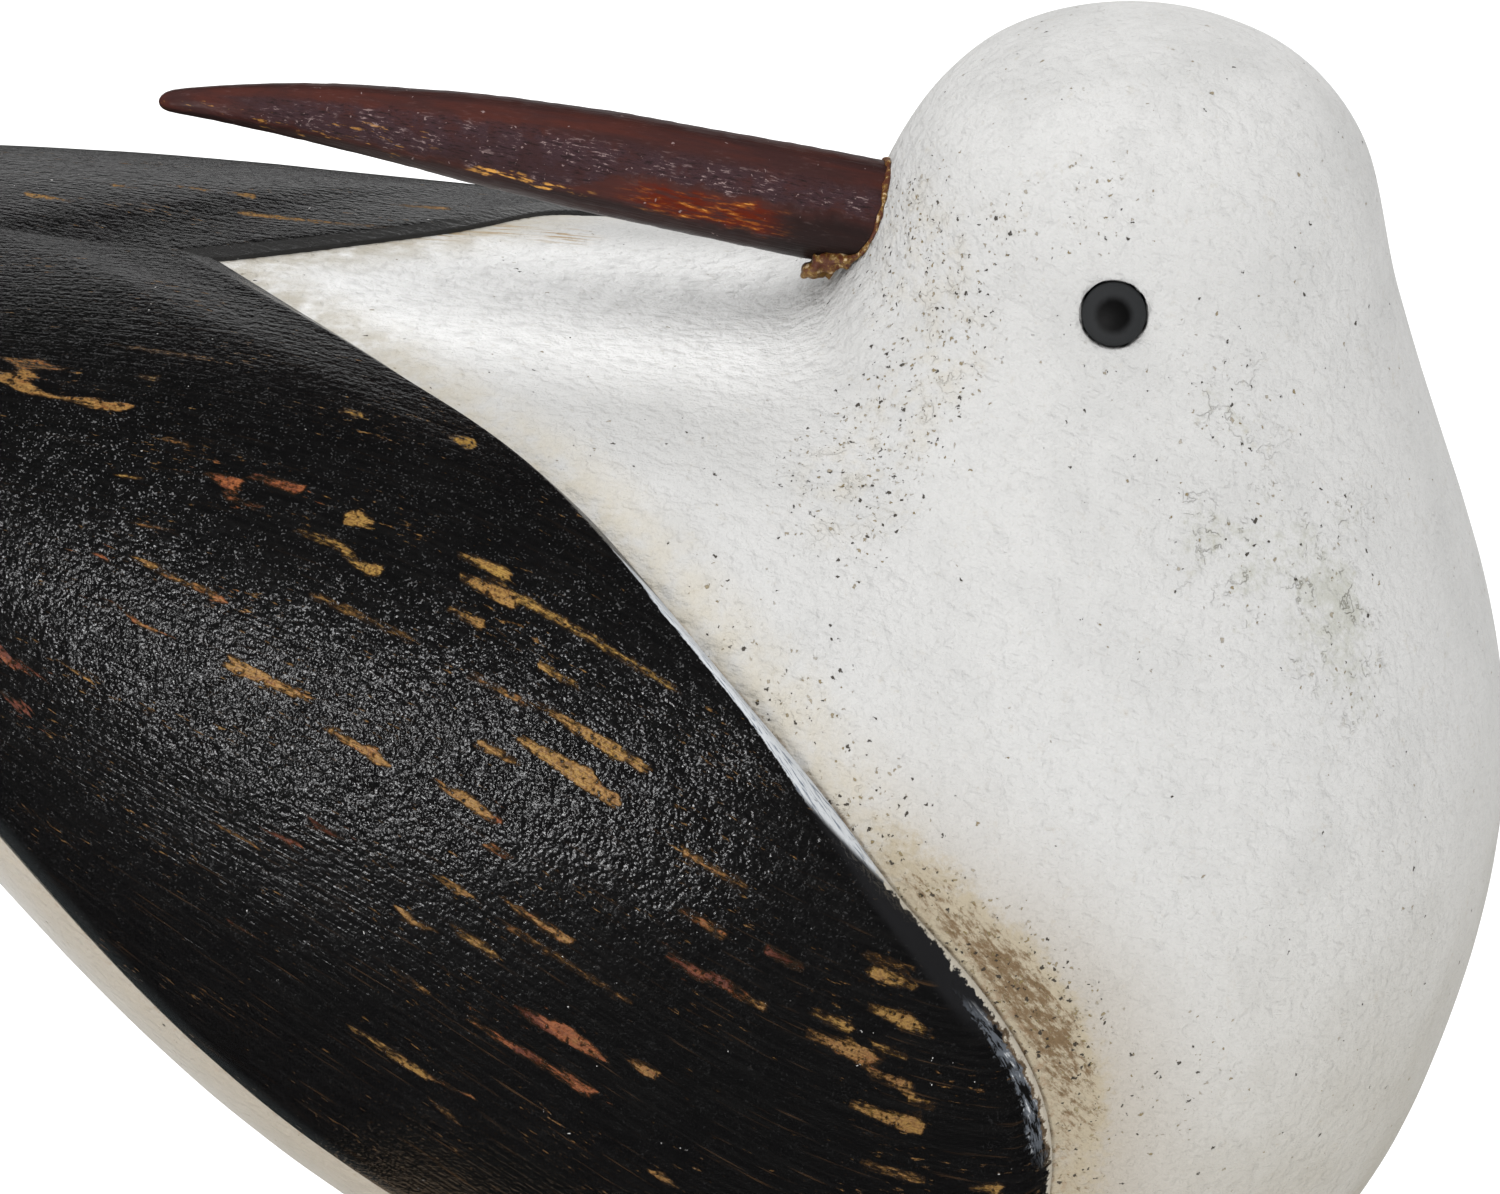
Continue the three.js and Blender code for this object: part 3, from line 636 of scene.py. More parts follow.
def wing_rings():
    """Rings of points round each rib of both halves: near crease to far crease over the top, and
    back along the underside. Beside them go the values that the finish reads at each point."""
    near, far = halves["near"], halves["far"]
    loop = [near["top"][:, :0:-1], far["top"], far["under"], near["under"][:, -2::-1]]
    points = np.concatenate(loop, axis=1)
    hidden = points.shape[1] - 2 * near["top"].shape[1] + 1
    spare = np.ones((len(points), hidden))

    def values(key, empty=0.0, near_sign=1):
        return np.concatenate((near_sign * near[key][:, :0:-1], far[key], empty * spare), axis=1)

    return points, {
        "rib": near["u"][:, None] + 0 * points[..., 0],
        "climb": np.clip(values("climb"), 0, 3),
        "wear": values("wear", NO_WEAR),
        "red": values("red", PLAIN_RED),
        "painted_glint_spots": values("grit_and_glint"),
        "grain_along": values("along"),
        "grain_across": values("across", near_sign=-1),
    }


def close_ends(points, values, first, last):
    """Faces and values of a tube whose two ends are closed to one point each."""
    row_count, column_count = points.shape[:2]
    ring = np.arange(column_count)
    top = row_count * column_count
    faces = list(grid_faces(row_count, column_count))
    faces += list(tip_faces(ring[::-1], top))
    faces += list(tip_faces(ring + top - column_count, top + 1))
    every = np.concatenate((points.reshape(-1, 3), [first, last]))
    filled = {
        key: np.concatenate((v.ravel(), [v[0].mean(), v[-1].mean()])) for key, v in values.items()
    }
    return every, faces, filled


wing_points, wing_values = wing_rings()
wing_ends = [halves["near"]["under"][i, -1] for i in (0, -1)]
wings = build_piece("raised_wings", *close_ends(wing_points, wing_values, *wing_ends))

# %% Body mesh

# Where dirt has gathered: section, degrees, size in millimetres and strength
STAINS = [[8.35, 73, 8, 0.5], [8.48, 76, 8, 0.75], [8.6, 80, 9, 0.95], [8.75, 84, 10, 1.1],
          [8.82, 88, 10, 1.15], [8.86, 92, 10, 1.15], [8.82, 96, 10, 1.0], [8.76, 101, 10, 0.75],
          [8.64, 107, 10, 0.5], [9.2, 104, 12, 0.35]]
PITS = [[13.4, 23, 10, 0.7], [13.2, 35.5, 10, 0.9], [12.6, 27, 10, 0.8], [12.6, 41, 10, 0.8],
        [12.2, 44, 10, 0.8], [11.6, 40, 10, 0.9], [10.9, 34.5, 11, 0.9], [10.0, 33.5, 12, 0.9],
        [9.35, 33.7, 12, 0.8], [8.95, 37.5, 10, 0.6], [13.8, 52, 8, 0.5], [14.2, 75, 8, 0.4],
        [7.8, 48.5, 8, 0.5], [8.1, 56, 8, 0.6], [8.3, 66, 8, 0.7]]
GRIME = [[11.67, 92.5, 9, 0.7], [11.66, 101.2, 10, 0.8], [11.79, 110.2, 8, 0.8],
         [11.61, 114.0, 9, 1.0], [11.48, 114.7, 9, 1.0], [11.38, 106.2, 9, 0.7],
         [11.3, 114.0, 9, 0.8], [11.21, 117.2, 8, 0.7], [11.35, 95.8, 8, 0.5],
         [12.57, 101.5, 10, 0.5], [12.4, 106.2, 9, 0.4], [11.91, 121.5, 7, 0.6],
         [11.89, 105.2, 8, 0.6]]
RUBS = [[6.5, 15.2, 6, 1.0], [6.62, 16.5, 6, 1.0], [6.8, 19.2, 6, 1.0], [7.01, 18.3, 6, 1.0]]

EDGE_LIMIT = 40

body_values = {
    "edge": np.minimum(edge_distance, EDGE_LIMIT),
    "hollow": hollow,
    "stain": gathered(skin, STAINS),
    "pits": gathered(skin, PITS),
    "grime": gathered(skin, GRIME),
    "rub": gathered(skin, RUBS, ["far"]),
}
body_ends = [body_point(np.array(t), np.array(0.0)) for t in (0.0, float(LAST_SECTION))]
body = build_piece("carved_body", *close_ends(skin, body_values, *body_ends))

# %% [markdown]
# ## The beak
#
# The beak is a peg turned from dowel, tapered and bent down a little at its tip, and glued into
# a hole in the face. It is one profile carried along its line. Hand scraping has left its
# section slightly uneven, so the radius gets a little noise, which fades out at the tip.

# %% Beak

BEAK_START = np.array([12.1 + BIRD_FORWARD, 0.0, 47.2 + BIRD_RAISE])
BEAK_LINE = unit(np.array([-1.0, 0.0, 0.209]))
BEAK_DROOP = 2.64e-5
BEAK_DROOP_FROM = 30.0
BEAK_DROOP_POWER = 3
BEAK_STEPS = [-13, 0, 7, 18, 29, 40, 45.5, 51, 57, 62, 68, 73, 75, 76.3, 77.0, 77.4, 77.6]
BEAK_RADII = [6.2, 6.2, 6.2, 6.0, 5.75, 5.15, 4.75, 4.2, 3.7, 3.15, 2.45, 1.8, 1.55, 1.32, 1.05,
              0.72, 0.3]
BEAK_ROWS = 520
BEAK_COLUMNS = 150
BEAK_INSET = 0.12
BEAK_UNEVEN = 0.11
BEAK_EVEN_TIP = 12


def beak_middle(step):
    """Point on the beak's line that many millimetres from the face, less a droop that grows
    with the cube of the distance past its start."""
    beyond = np.maximum(step - BEAK_DROOP_FROM, 0)
    line = BEAK_START + step[..., None] * BEAK_LINE
    return line - BEAK_DROOP * (beyond**BEAK_DROOP_POWER)[..., None] * np.array([0, 0, 1])


def beak_point(step, turn, proud=0.0):
    """Point round the beak at an angle from its top: its middle plus its radius along the
    direction that the angle gives in the plane square to the line."""
    side = np.array([0.0, 1.0, 0.0])
    up = np.cross(side, BEAK_LINE)
    out = np.sin(turn)[..., None] * side + np.cos(turn)[..., None] * up
    radius = np.interp(step, BEAK_STEPS, BEAK_RADII) + proud
    return beak_middle(step) + radius[..., None] * out


beak_steps = np.linspace(BEAK_STEPS[0], BEAK_STEPS[-1], BEAK_ROWS)
beak_turns = 2 * HALF_TURN * np.arange(BEAK_COLUMNS) / BEAK_COLUMNS
step_grid, turn_grid = np.meshgrid(beak_steps, beak_turns, indexing="ij")
smooth = beak_point(step_grid, turn_grid)
rough = 0.6 * soft_noise(smooth * [0.25, 1, 1], 2.4, 11) + 0.4 * soft_noise(smooth, 1.1, 12)
fade = np.clip((BEAK_STEPS[-1] - step_grid) / BEAK_EVEN_TIP, 0, 1)
beak_skin = beak_point(step_grid, turn_grid, BEAK_UNEVEN * rough * fade - BEAK_INSET)
beak_values = {"step": step_grid, "up": np.cos(turn_grid)}
beak_ends = [beak_middle(np.array(t)) for t in (BEAK_STEPS[0], BEAK_STEPS[-1])]
beak = build_piece("beak_peg", *close_ends(beak_skin, beak_values, *beak_ends))

# %% [markdown]
# ## Glue round the beak
#
# Glue squeezed out where the peg meets the face. It dried as a thin crumbly ring, with one
# thicker blob under the peg on the near side. The ring needs the line where peg and face meet.
# The face is sampled densely and every sample is written in the beak's own measures. The samples
# at the beak's radius are kept, and the line is read from them in order of their angle.

# %% Glue ring

GLUE_POINTS = 320
GLUE_SIDES = 20
GLUE_RADIUS = 0.34
BLOB_TURN = 1.15 * HALF_TURN
BLOB_SPAN = 0.40
BLOB_GROWTH = 2.2
BLOB_CREEP = 4.4
BLOB_SAG = 1.7
GLUE_CRUMBLE = 0.75
FACE_SECTIONS = (11.5, 14.5)
FACE_ANGLE = 0.6
PEG_TOLERANCE = 0.1

face_t, face_angle = np.meshgrid(np.linspace(*FACE_SECTIONS, 900),
                                 np.linspace(-FACE_ANGLE, FACE_ANGLE, 700), indexing="ij")
face = body_point(face_t, face_angle).reshape(-1, 3)
face_step = (face - BEAK_START) @ BEAK_LINE
beside = face - BEAK_START - face_step[:, None] * BEAK_LINE
beak_up = np.cross(np.array([0.0, 1.0, 0.0]), BEAK_LINE)
face_turn = np.arctan2(beside[:, 1], beside @ beak_up)
face_radius = np.linalg.norm(beside, axis=-1)
on_peg = np.abs(face_radius - BEAK_RADII[1]) < PEG_TOLERANCE
order = np.argsort(face_turn[on_peg])
glue_turns = 2 * HALF_TURN * np.arange(GLUE_POINTS) / GLUE_POINTS
glue_steps = np.interp((glue_turns + HALF_TURN) % (2 * HALF_TURN) - HALF_TURN,
                       face_turn[on_peg][order], face_step[on_peg][order])
blob = np.exp(-(((glue_turns - BLOB_TURN) / BLOB_SPAN) ** 2))
glue_middle = beak_point(glue_steps + BLOB_CREEP * blob, glue_turns, BLOB_SAG * blob**3)
print("peg meets the face from step", glue_steps.min().round(2), "to", glue_steps.max().round(2))


def tube_round(middle, radius, sides):
    """Closed tube along a closed line: each ring stands square to the line's own direction, on
    the sideways and upward directions made from that line and the beak's line."""
    forward = unit(np.roll(middle, -1, axis=0) - np.roll(middle, 1, axis=0))
    outward = unit(np.cross(forward, BEAK_LINE))
    upward = np.cross(outward, forward)
    turn = -2 * HALF_TURN * np.arange(sides) / sides
    cosine, sine = np.cos(turn)[None, :, None], np.sin(turn)[None, :, None]
    round_it = cosine * outward[:, None] + sine * upward[:, None]
    return middle[:, None] + radius[..., None] * round_it


uneven = soft_noise(glue_middle, 2.6, 21) + 0.5 * soft_noise(glue_middle, 0.8, 22)
swollen = 1 + 0.5 * uneven + BLOB_GROWTH * 4 * blob * (1 - blob)
glue_radius = GLUE_RADIUS * swollen[:, None] * np.ones((1, GLUE_SIDES))
even_tube = tube_round(glue_middle, glue_radius, GLUE_SIDES)
crumbly = 1 + GLUE_CRUMBLE * soft_noise(even_tube, 0.9, 24)
glue_points = tube_round(glue_middle, glue_radius * crumbly, GLUE_SIDES)
glue_faces = grid_faces(GLUE_POINTS + 1, GLUE_SIDES) % (GLUE_POINTS * GLUE_SIDES)
glue = build_piece("beak_glue", glue_points.reshape(-1, 3), list(glue_faces))

# %% [markdown]
# ## Eyes
#
# The eyes are bought beads of black glass, pushed into drilled sockets. A bead is a low dome
# with a flattened middle, so it is a profile turned round the socket's own axis: out from the
# middle, over the shoulder and down into the hole.

# %% Eyes

BEAD_RADIUS = 3.35
BEAD_RIM_LEVEL = -0.5
BEAD_DOME = 1.5
BEAD_BOTTOM = -2.9
BEAD_RINGS = 40
BEAD_SIDES = 160


def bead_profile():
    """Radius and height of the bead from near its middle to its foot: a quarter of an ellipse,
    then straight down with the last ring drawn in."""
    turn = np.linspace(0.03, 1, BEAD_RINGS) * HALF_TURN / 2
    radius = np.concatenate((BEAD_RADIUS * np.sin(turn), [BEAD_RADIUS, 0.9 * BEAD_RADIUS]))
    height = BEAD_RIM_LEVEL + BEAD_DOME * np.cos(turn)
    return radius, np.concatenate((height, [BEAD_BOTTOM + 0.3, BEAD_BOTTOM]))


def turned(profile, middle, axis, across, sides):
    """Rings of points round an axis: middle plus height along the axis plus radius along the
    direction that each angle gives in the plane square to it."""
    radius, height = profile
    second = np.cross(axis, across)
    turn = 2 * HALF_TURN * np.arange(sides) / sides
    ring = np.cos(turn)[:, None] * across + np.sin(turn)[:, None] * second
    return middle + height[:, None, None] * axis + radius[:, None, None] * ring[None]


beads = {}
for side in SIDES:
    middle, axis = eye_frame(side)
    across = unit(np.cross(axis, np.array([0.0, 0.0, 1.0])))
    profile = bead_profile()
    rings = turned(profile, middle, axis, across, BEAD_SIDES)[::-1]
    ends = (middle + BEAD_BOTTOM * axis, middle + (BEAD_RIM_LEVEL + BEAD_DOME) * axis)
    values = {"radius": profile[0][::-1][:, None] * np.ones((1, BEAD_SIDES))}
    beads[side] = build_piece(f"bead_{side}", *close_ends(rings, values, *ends))

# %% [markdown]
# ## Legs and base
#
# The stand is plain: two lengths of stained dowel and one block with rounded corners. A dowel is
# a circle carried along its own axis, never quite even after sanding. The block is one outline,
# a rectangle with quarter circles for corners, carried up the worn edges and drawn in to the
# middle of both faces. Old grain lines stand up a little on its top.

# %% Legs

LEG_RADIUS = 4.95
LEG_SPREAD = 23.0
LEG_X = 6.0
LEG_LEVELS = (8.5, 88.0)
LEG_ROWS = 260
LEG_COLUMNS = 128
LEG_UNEVEN = 0.08

legs = {}
for side, sign in SIDES.items():
    levels, turns = np.meshgrid(np.linspace(*LEG_LEVELS, LEG_ROWS),
                                2 * HALF_TURN * np.arange(LEG_COLUMNS) / LEG_COLUMNS,
                                indexing="ij")
    middle = np.array([LEG_X, sign * LEG_SPREAD, 0.0])
    ring = np.stack((np.cos(turns), np.sin(turns), 0 * turns), -1)
    upright = levels[..., None] * np.array([0, 0, 1])
    flat_noise = soft_noise((middle + LEG_RADIUS * ring + upright) * [1, 1, 0.15], 1.6, 31)
    radius = LEG_RADIUS + LEG_UNEVEN * (flat_noise - 1)
    points = middle + radius[..., None] * ring + upright
    ends = [middle + np.array([0, 0, level]) for level in LEG_LEVELS]
    legs[side] = build_piece(f"dowel_{side}", *close_ends(points, {}, *ends))

# %% Base

BASE_SIZE = np.array([160.0, 100.0, 20.0])
BASE_CORNER = 9.0
BASE_EDGE = 1.9
BASE_AROUND = 560
EDGE_STEPS = 9
FACE_STEPS = 60
WALL_ROWS = 12
GRAIN_RISE = 0.16
GRAIN_MIDDLE = 1.5
TOP_PART = 1 / 6
CORNER_CUT = 0.35
CORNER_REACH = 60


def base_outline(inset):
    """Points round a rectangle with round corners, moved in by inset. Each point is the nearest
    place on the smaller rectangle of corner centres, plus the corner radius outwards."""
    turn = 2 * HALF_TURN * (np.arange(BASE_AROUND) + 0.5) / BASE_AROUND
    half = BASE_SIZE[:2] / 2
    heading = np.stack((np.cos(turn), np.sin(turn)), -1)
    reach = 1 / np.maximum(np.abs(heading[:, 0]) / half[0], np.abs(heading[:, 1]) / half[1])
    core = half - BASE_CORNER
    frame_point = heading * reach[:, None]
    nearest = np.clip(frame_point, -core, core)
    outward = unit(frame_point - nearest)
    return nearest + (BASE_CORNER - inset[:, None, None]) * outward


def base_rings():
    """Insets, shares of the distance from the middle, and levels of the rings from the middle of
    the underside, round both edges, to the middle of the top."""
    turn = np.linspace(0, 1, EDGE_STEPS) * HALF_TURN / 2
    inset = BASE_EDGE * (1 - np.sin(turn))
    rise = BASE_EDGE * (1 - np.cos(turn))
    wall = np.linspace(rise[-1], BASE_SIZE[2] - rise[-1], WALL_ROWS)[1:-1]
    share = np.linspace(0, 1, FACE_STEPS)[1:-1]
    insets = np.concatenate((0 * share + BASE_EDGE, inset, 0 * wall, inset[::-1],
                             0 * share + BASE_EDGE))
    levels = np.concatenate((0 * share, rise, wall, BASE_SIZE[2] - rise[::-1],
                             0 * share + BASE_SIZE[2]))
    shares = np.concatenate((share, 0 * inset + 1, 0 * wall + 1, 0 * inset + 1, share[::-1]))
    return insets, shares, levels


insets, shares, levels = base_rings()
flat = base_outline(insets) * shares[:, None, None]
block = np.concatenate((flat, levels[:, None, None] + 0 * flat[..., :1]), axis=-1)
ridge = soft_noise(block * [0.02, 0.45, 0.25], 1.0, 41) + 0.5 * soft_noise(
    block * [0.05, 1.1, 0.5], 1.0, 42)
top_share = np.clip(1 - (1 - block[..., 2:] / BASE_SIZE[2]) / TOP_PART, 0, 1)
block[..., 2:] -= GRAIN_RISE * top_share * (1 + ridge / GRAIN_MIDDLE)[..., None]
worn = np.clip(soft_noise(block, 9, 43) + 0.5 * soft_noise(block, 3, 44), 0, 1)
pull = CORNER_CUT * worn * (insets > 0)[:, None] * (shares > 0.97)[:, None]
block[..., :2] *= 1 - pull[..., None] / CORNER_REACH
base_ends = [np.array([0, 0, 0.0]), np.array([0, 0, BASE_SIZE[2] - GRAIN_RISE])]
base = build_piece("base_block", *close_ends(block, {}, *base_ends))

# %% [markdown]
# ## Which piece stands for what
#
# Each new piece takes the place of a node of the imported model, which stays behind for physics.
# The statue has no joints, so everything rides on its one body.

# %% Pieces and nodes

STANDS_FOR = [
    (body, "body", "painted_wood"), (wings, "body", "painted_wood"),
    (beak, "beak", "stained_wood"), (glue, None, "stained_wood"),
    (beads["near"], "eye_near", "black_bead"), (beads["far"], "eye_far", "black_bead"),
    (legs["near"], "leg_near", "stained_wood"), (legs["far"], "leg_far", "stained_wood"),
    (base, "base", "bare_wood"),
]
for piece, node_name, slot_name in STANDS_FOR:
    if node_name:
        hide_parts(node_name)
    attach(piece, "root")
print("pieces:", [piece.name for piece, _, _ in STANDS_FOR])

# %% [markdown]
# ## Building a finish from nodes
#
# A finish is a network of small nodes, and most of them do plain sums. So that the sums stay
# readable, each output of a node is wrapped in a value with the usual arithmetic: a product of
# two values adds a Math node that multiplies, and so on. The other helpers add one kind of node
# each. All patterns are laid out in millimetres, so their sizes read like sizes on a ruler.

# %% Values with arithmetic


class Value:
    """Number, vector or colour that a node puts out. A sum on numbers adds its Math node."""

    def __init__(self, socket):
        self.socket = socket
        self.tree = socket.id_data

    def __add__(self, other):
        return maths("ADD", self, other)

    def __sub__(self, other):
        return maths("SUBTRACT", self, other)

    def __rsub__(self, other):
        return maths("SUBTRACT", other, self)

    def __mul__(self, other):
        return maths("MULTIPLY", self, other)

    def __truediv__(self, other):
        return maths("DIVIDE", self, other)

    def __rtruediv__(self, other):
        return maths("DIVIDE", other, self)

    def __abs__(self):
        return maths("ABSOLUTE", self)


def values_of(sockets):
    """Values of a row of sockets, to be looked up by name or by number."""
    values = [Value(socket) for socket in sockets]
    return {**{value.socket.name: value for value in values}, **dict(enumerate(values))}


def add_node(tree, kind, inputs=None, **settings):
    """Values that a new node puts out. Its settings are made first. Then a value is wired to the
    input it is given for, and anything else is written there as a constant."""
    node = tree.nodes.new("ShaderNode" + kind)
    for label, setting in settings.items():
        setattr(node, label, setting)
    for label, given in (inputs or {}).items():
        if isinstance(given, Value):
            tree.links.new(given.socket, node.inputs[label])
        else:
            node.inputs[label].default_value = given
    return values_of(node.outputs)


def tree_of(*inputs):
    """The node tree of the first value among some inputs."""
    return next(given.tree for given in inputs if isinstance(given, Value))


def maths(operation, first, second=0.0):
    """One sum on two numbers, of which at least one is a value."""
    inputs = {0: first, 1: second}
    return add_node(tree_of(first, second), "Math", inputs, operation=operation)[0]


def larger(first, second):
    """The larger of two numbers."""
    return maths("MAXIMUM", first, second)


# %% Blends and steps


def blend(share, first, second, blend_type="MIX"):
    """Colour between two colours by a share from 0 to 1."""
    inputs = {0: share, 6: first, 7: second}
    tree = tree_of(share, first, second)
    return add_node(tree, "Mix", inputs, data_type="RGBA", blend_type=blend_type)[2]


def ease(value, low, high):
    """0 at low, 1 at high, easing in and out between them."""
    inputs = {"Value": value, "From Min": low, "From Max": high}
    return add_node(value.tree, "MapRange", inputs, interpolation_type="SMOOTHSTEP")[0]


def window(value, start, end, soft):
    """1 between start and end and 0 outside, with soft edges."""
    return ease(value, start - soft, start + soft) * ease(value, end + soft, end - soft)


# %% Places and patterns


def scaled(vector, factor):
    """Vector times one number."""
    return add_node(vector.tree, "VectorMath", {0: vector, "Scale": factor}, operation="SCALE")[0]


def vector_maths(operation, first, second):
    """One sum on two vectors, of which the first is a value."""
    inputs = {0: first, 1: second}
    return add_node(first.tree, "VectorMath", inputs, operation=operation)[0]


def join_axes(x, y, z=0.0):
    """Vector made of three numbers."""
    return add_node(tree_of(x, y, z), "CombineXYZ", {0: x, 1: y, 2: z})[0]


def axes_of(vector):
    """The three numbers of a vector."""
    return add_node(vector.tree, "SeparateXYZ", {0: vector})


def millimetres(tree):
    """Place on the object in millimetres."""
    return scaled(add_node(tree, "TexCoord")["Object"], 1 / MM)


def stored(tree, label):
    """Number that the mesh stores at each point."""
    return add_node(tree, "Attribute", attribute_name=label)["Fac"]


def stretch(vector, sizes, turn_y=0.0):
    """Vector turned about Y and divided by a size for each axis, so that a pattern of unit size
    becomes that long, deep and tall."""
    inputs = {"Vector": vector, "Rotation": (0, turn_y, 0)}
    return vector_maths("DIVIDE", add_node(vector.tree, "Mapping", inputs)[0], sizes)


def noise(vector, size, detail=2.0, roughness=0.5, distortion=0.0):
    """Cloudy pattern whose patches are about size millimetres."""
    inputs = {"Vector": vector, "Scale": 1 / size, "Detail": detail, "Roughness": roughness,
              "Distortion": distortion}
    return add_node(vector.tree, "TexNoise", inputs)[0]


def bump(height, distance):
    """Surface normal tilted by a height in units of the distance, in metres."""
    return add_node(height.tree, "Bump", {"Height": height, "Distance": distance})[0]


# %% Groups, materials and wires


def new_group(name, inputs, outputs):
    """Node group with named sockets: a name, a kind and a starting value for each input."""
    tree = bpy.data.node_groups.new(name, "ShaderNodeTree")
    for label, kind, start_value in inputs:
        socket = tree.interface.new_socket(label, in_out="INPUT", socket_type="NodeSocket" + kind)
        if start_value is not None:
            socket.default_value = start_value
    for label, kind in outputs:
        tree.interface.new_socket(label, in_out="OUTPUT", socket_type="NodeSocket" + kind)
    start = tree.nodes.new("NodeGroupInput")
    end = tree.nodes.new("NodeGroupOutput")
    return tree, values_of(start.outputs), end.inputs


def use_group(group, inputs):
    """Values of the group, placed in a material with its own inputs."""
    return add_node(tree_of(*inputs.values()), "Group", inputs, node_tree=group)


def new_material(name, pieces, roughness, specular):
    """Material on some pieces: its node tree, and the inputs of its shader to be wired."""
    material = bpy.data.materials.new(name)
    material.use_nodes = True
    shader = material.node_tree.nodes["Principled BSDF"].inputs
    shader["Roughness"].default_value = roughness
    shader["Specular IOR Level"].default_value = specular
    for piece in pieces:
        piece.data.materials.append(material)
    return material.node_tree, shader


def wire(value, inputs, label):
    """Feed one input of a shader, or one output of a group, with a value."""
    value.tree.links.new(value.socket, inputs[label])


# %% [markdown]
# ## Specks
#
# Pits in the white paint, dust on the black, pale crumbs on the beak and worm holes in the base
# are all small scattered marks. A Voronoi texture splits space into cells and draws three random
# numbers for each: the size of its mark, whether it has one at all, and the mark's tone. A
# little noise bends the cells so that no mark is a perfect ball.

# %% Specks group

specks, group_in, group_out = new_group(
    "specks",
    [("Vector", "Vector", None), ("Spacing", "Float", 2.0), ("Radius", "Float", 0.3),
     ("Amount", "Float", 0.5)],
    [("Mask", "Float"), ("Tone", "Float")],
)
WOBBLE = 0.9
wobble = add_node(specks, "TexNoise", {"Vector": group_in["Vector"], "Scale": 2.2, "Detail": 2.0})
centred = vector_maths("SUBTRACT", wobble[1], (0.5, 0.5, 0.5))
moved = vector_maths("ADD", group_in["Vector"], scaled(centred, WOBBLE))
density = 1.0 / group_in["Spacing"]
cells = add_node(specks, "TexVoronoi", {"Vector": moved, "Scale": density})
drawn = add_node(specks, "SeparateColor", {0: cells["Color"]})
reach = group_in["Radius"] * density * (drawn[0] * 0.9 + 0.3)
mark = ease(cells["Distance"] / reach, 1.1, 0.7)
filled = maths("LESS_THAN", drawn[1], group_in["Amount"])
wire(mark * filled, group_out, "Mask")
wire(drawn[2], group_out, "Tone")
print("specks group has", len(specks.nodes), "nodes")

# %% [markdown]
# ## Wood grain
#
# Grain is long and thin: noise that is stretched along one axis. A slow part gives bands of
# early and late wood, a fine part gives the pores. The first axis of the vector is the length.

# %% Wood grain group

wood_grain, group_in, group_out = new_group(
    "wood_grain",
    [("Vector", "Vector", None), ("Length", "Float", 30.0), ("Width", "Float", 1.2)],
    [("Bands", "Float"), ("Pores", "Float")],
)
grain_size = join_axes(group_in["Length"], group_in["Width"], group_in["Width"])
laid = vector_maths("DIVIDE", group_in["Vector"], grain_size)
wire(noise(laid, 1.0, 4.0, 0.55, 0.3), group_out, "Bands")
wire(noise(laid, 1 / 4.5, 3.0, 0.7), group_out, "Pores")
print("wood grain group has", len(wood_grain.nodes), "nodes")

# %% [markdown]
# ## Brush strokes
#
# The paint was brushed on thickly and left its bristle marks, which run across the head and the
# breast and lean a little. They are sheets of noise, long in two directions and thin in the
# third.

# %% Brush strokes group

strokes, group_in, group_out = new_group(
    "brush_strokes",
    [("Vector", "Vector", None), ("Length", "Float", 20.0), ("Width", "Float", 0.8)],
    [("Height", "Float"), ("Mask", "Float")],
)
STROKE_LEAN = -18 * DEGREE
sheet = join_axes(group_in["Length"], group_in["Length"], group_in["Width"])
bristle = noise(stretch(group_in["Vector"], sheet, STROKE_LEAN), 1.0, 4.0, 0.6)
wire(bristle, group_out, "Height")
wire(ease(bristle, 0.52, 0.68), group_out, "Mask")
print("brush strokes group has", len(strokes.nodes), "nodes")

# %% [markdown]
# ## White paint
#
# The white is a matt, slightly warm paint over a carved surface. It shows bristle marks, small
# pebbles of thick paint and soft grey patches. Years of dust have settled in pits on the neck
# and below the beak, along the wing and in two smudges on the breast. The mesh stores where
# those places are, and the finish decides what they look like. Light and shade are painted in
# too: a painted highlight on the crown, painted light under the beak against its shadow, painted
# shade low on the body and below the wings, and painted shade in the crease and the eye sockets.

# %% White paint colours

WHITE = (0.440, 0.437, 0.430, 1)
WHITE_PAINTED_LIGHT = (0.72, 0.718, 0.712, 1)
WHITE_CROWN_HIGHLIGHT = (0.475, 0.472, 0.465, 1)
WHITE_GREY = (0.39, 0.388, 0.381, 1)
WHITE_WARM_SHADE = (0.310, 0.288, 0.240, 1)
CREAM = (0.415, 0.385, 0.325, 1)
UNDER_WING = (0.275, 0.24, 0.19, 1)
STAIN_TAN = (0.30, 0.255, 0.175, 1)
STAIN_AND_CREASE_SHADE = (0.100, 0.054, 0.018, 1)
OLIVE = (0.17, 0.125, 0.05, 1)
RUB_OCHRE = (0.30, 0.20, 0.08, 1)
GRIME_GREY = (0.30, 0.30, 0.25, 1)
CRACK_GREY = (0.17, 0.16, 0.125, 1)
RIM_BROWN = (0.20, 0.125, 0.07, 1)
PIT_DARK = (0.035, 0.028, 0.02, 1)
SOCKET_SHADE = (0.012, 0.012, 0.012, 1)

# %% White paint

tree, shader = new_material("white_paint", [body], 0.8, 0.25)
place = millimetres(tree)
edge, stain, pits, grime, socket = (
    stored(tree, label) for label in ("edge", "stain", "pits", "grime", "hollow")
)
brushed = use_group(strokes, {"Vector": place, "Length": 9.0, "Width": 0.8})
dabs = noise(stretch(place, (2.8, 1.5, 1.3), -25 * DEGREE), 1.0, 2.0, 0.5)
pebbles = noise(place, 1.2, 3.0, 0.6)
clouds = noise(place, 13.0, 3.0, 0.55)
patches = noise(place, 3.2, 4.0, 0.65)
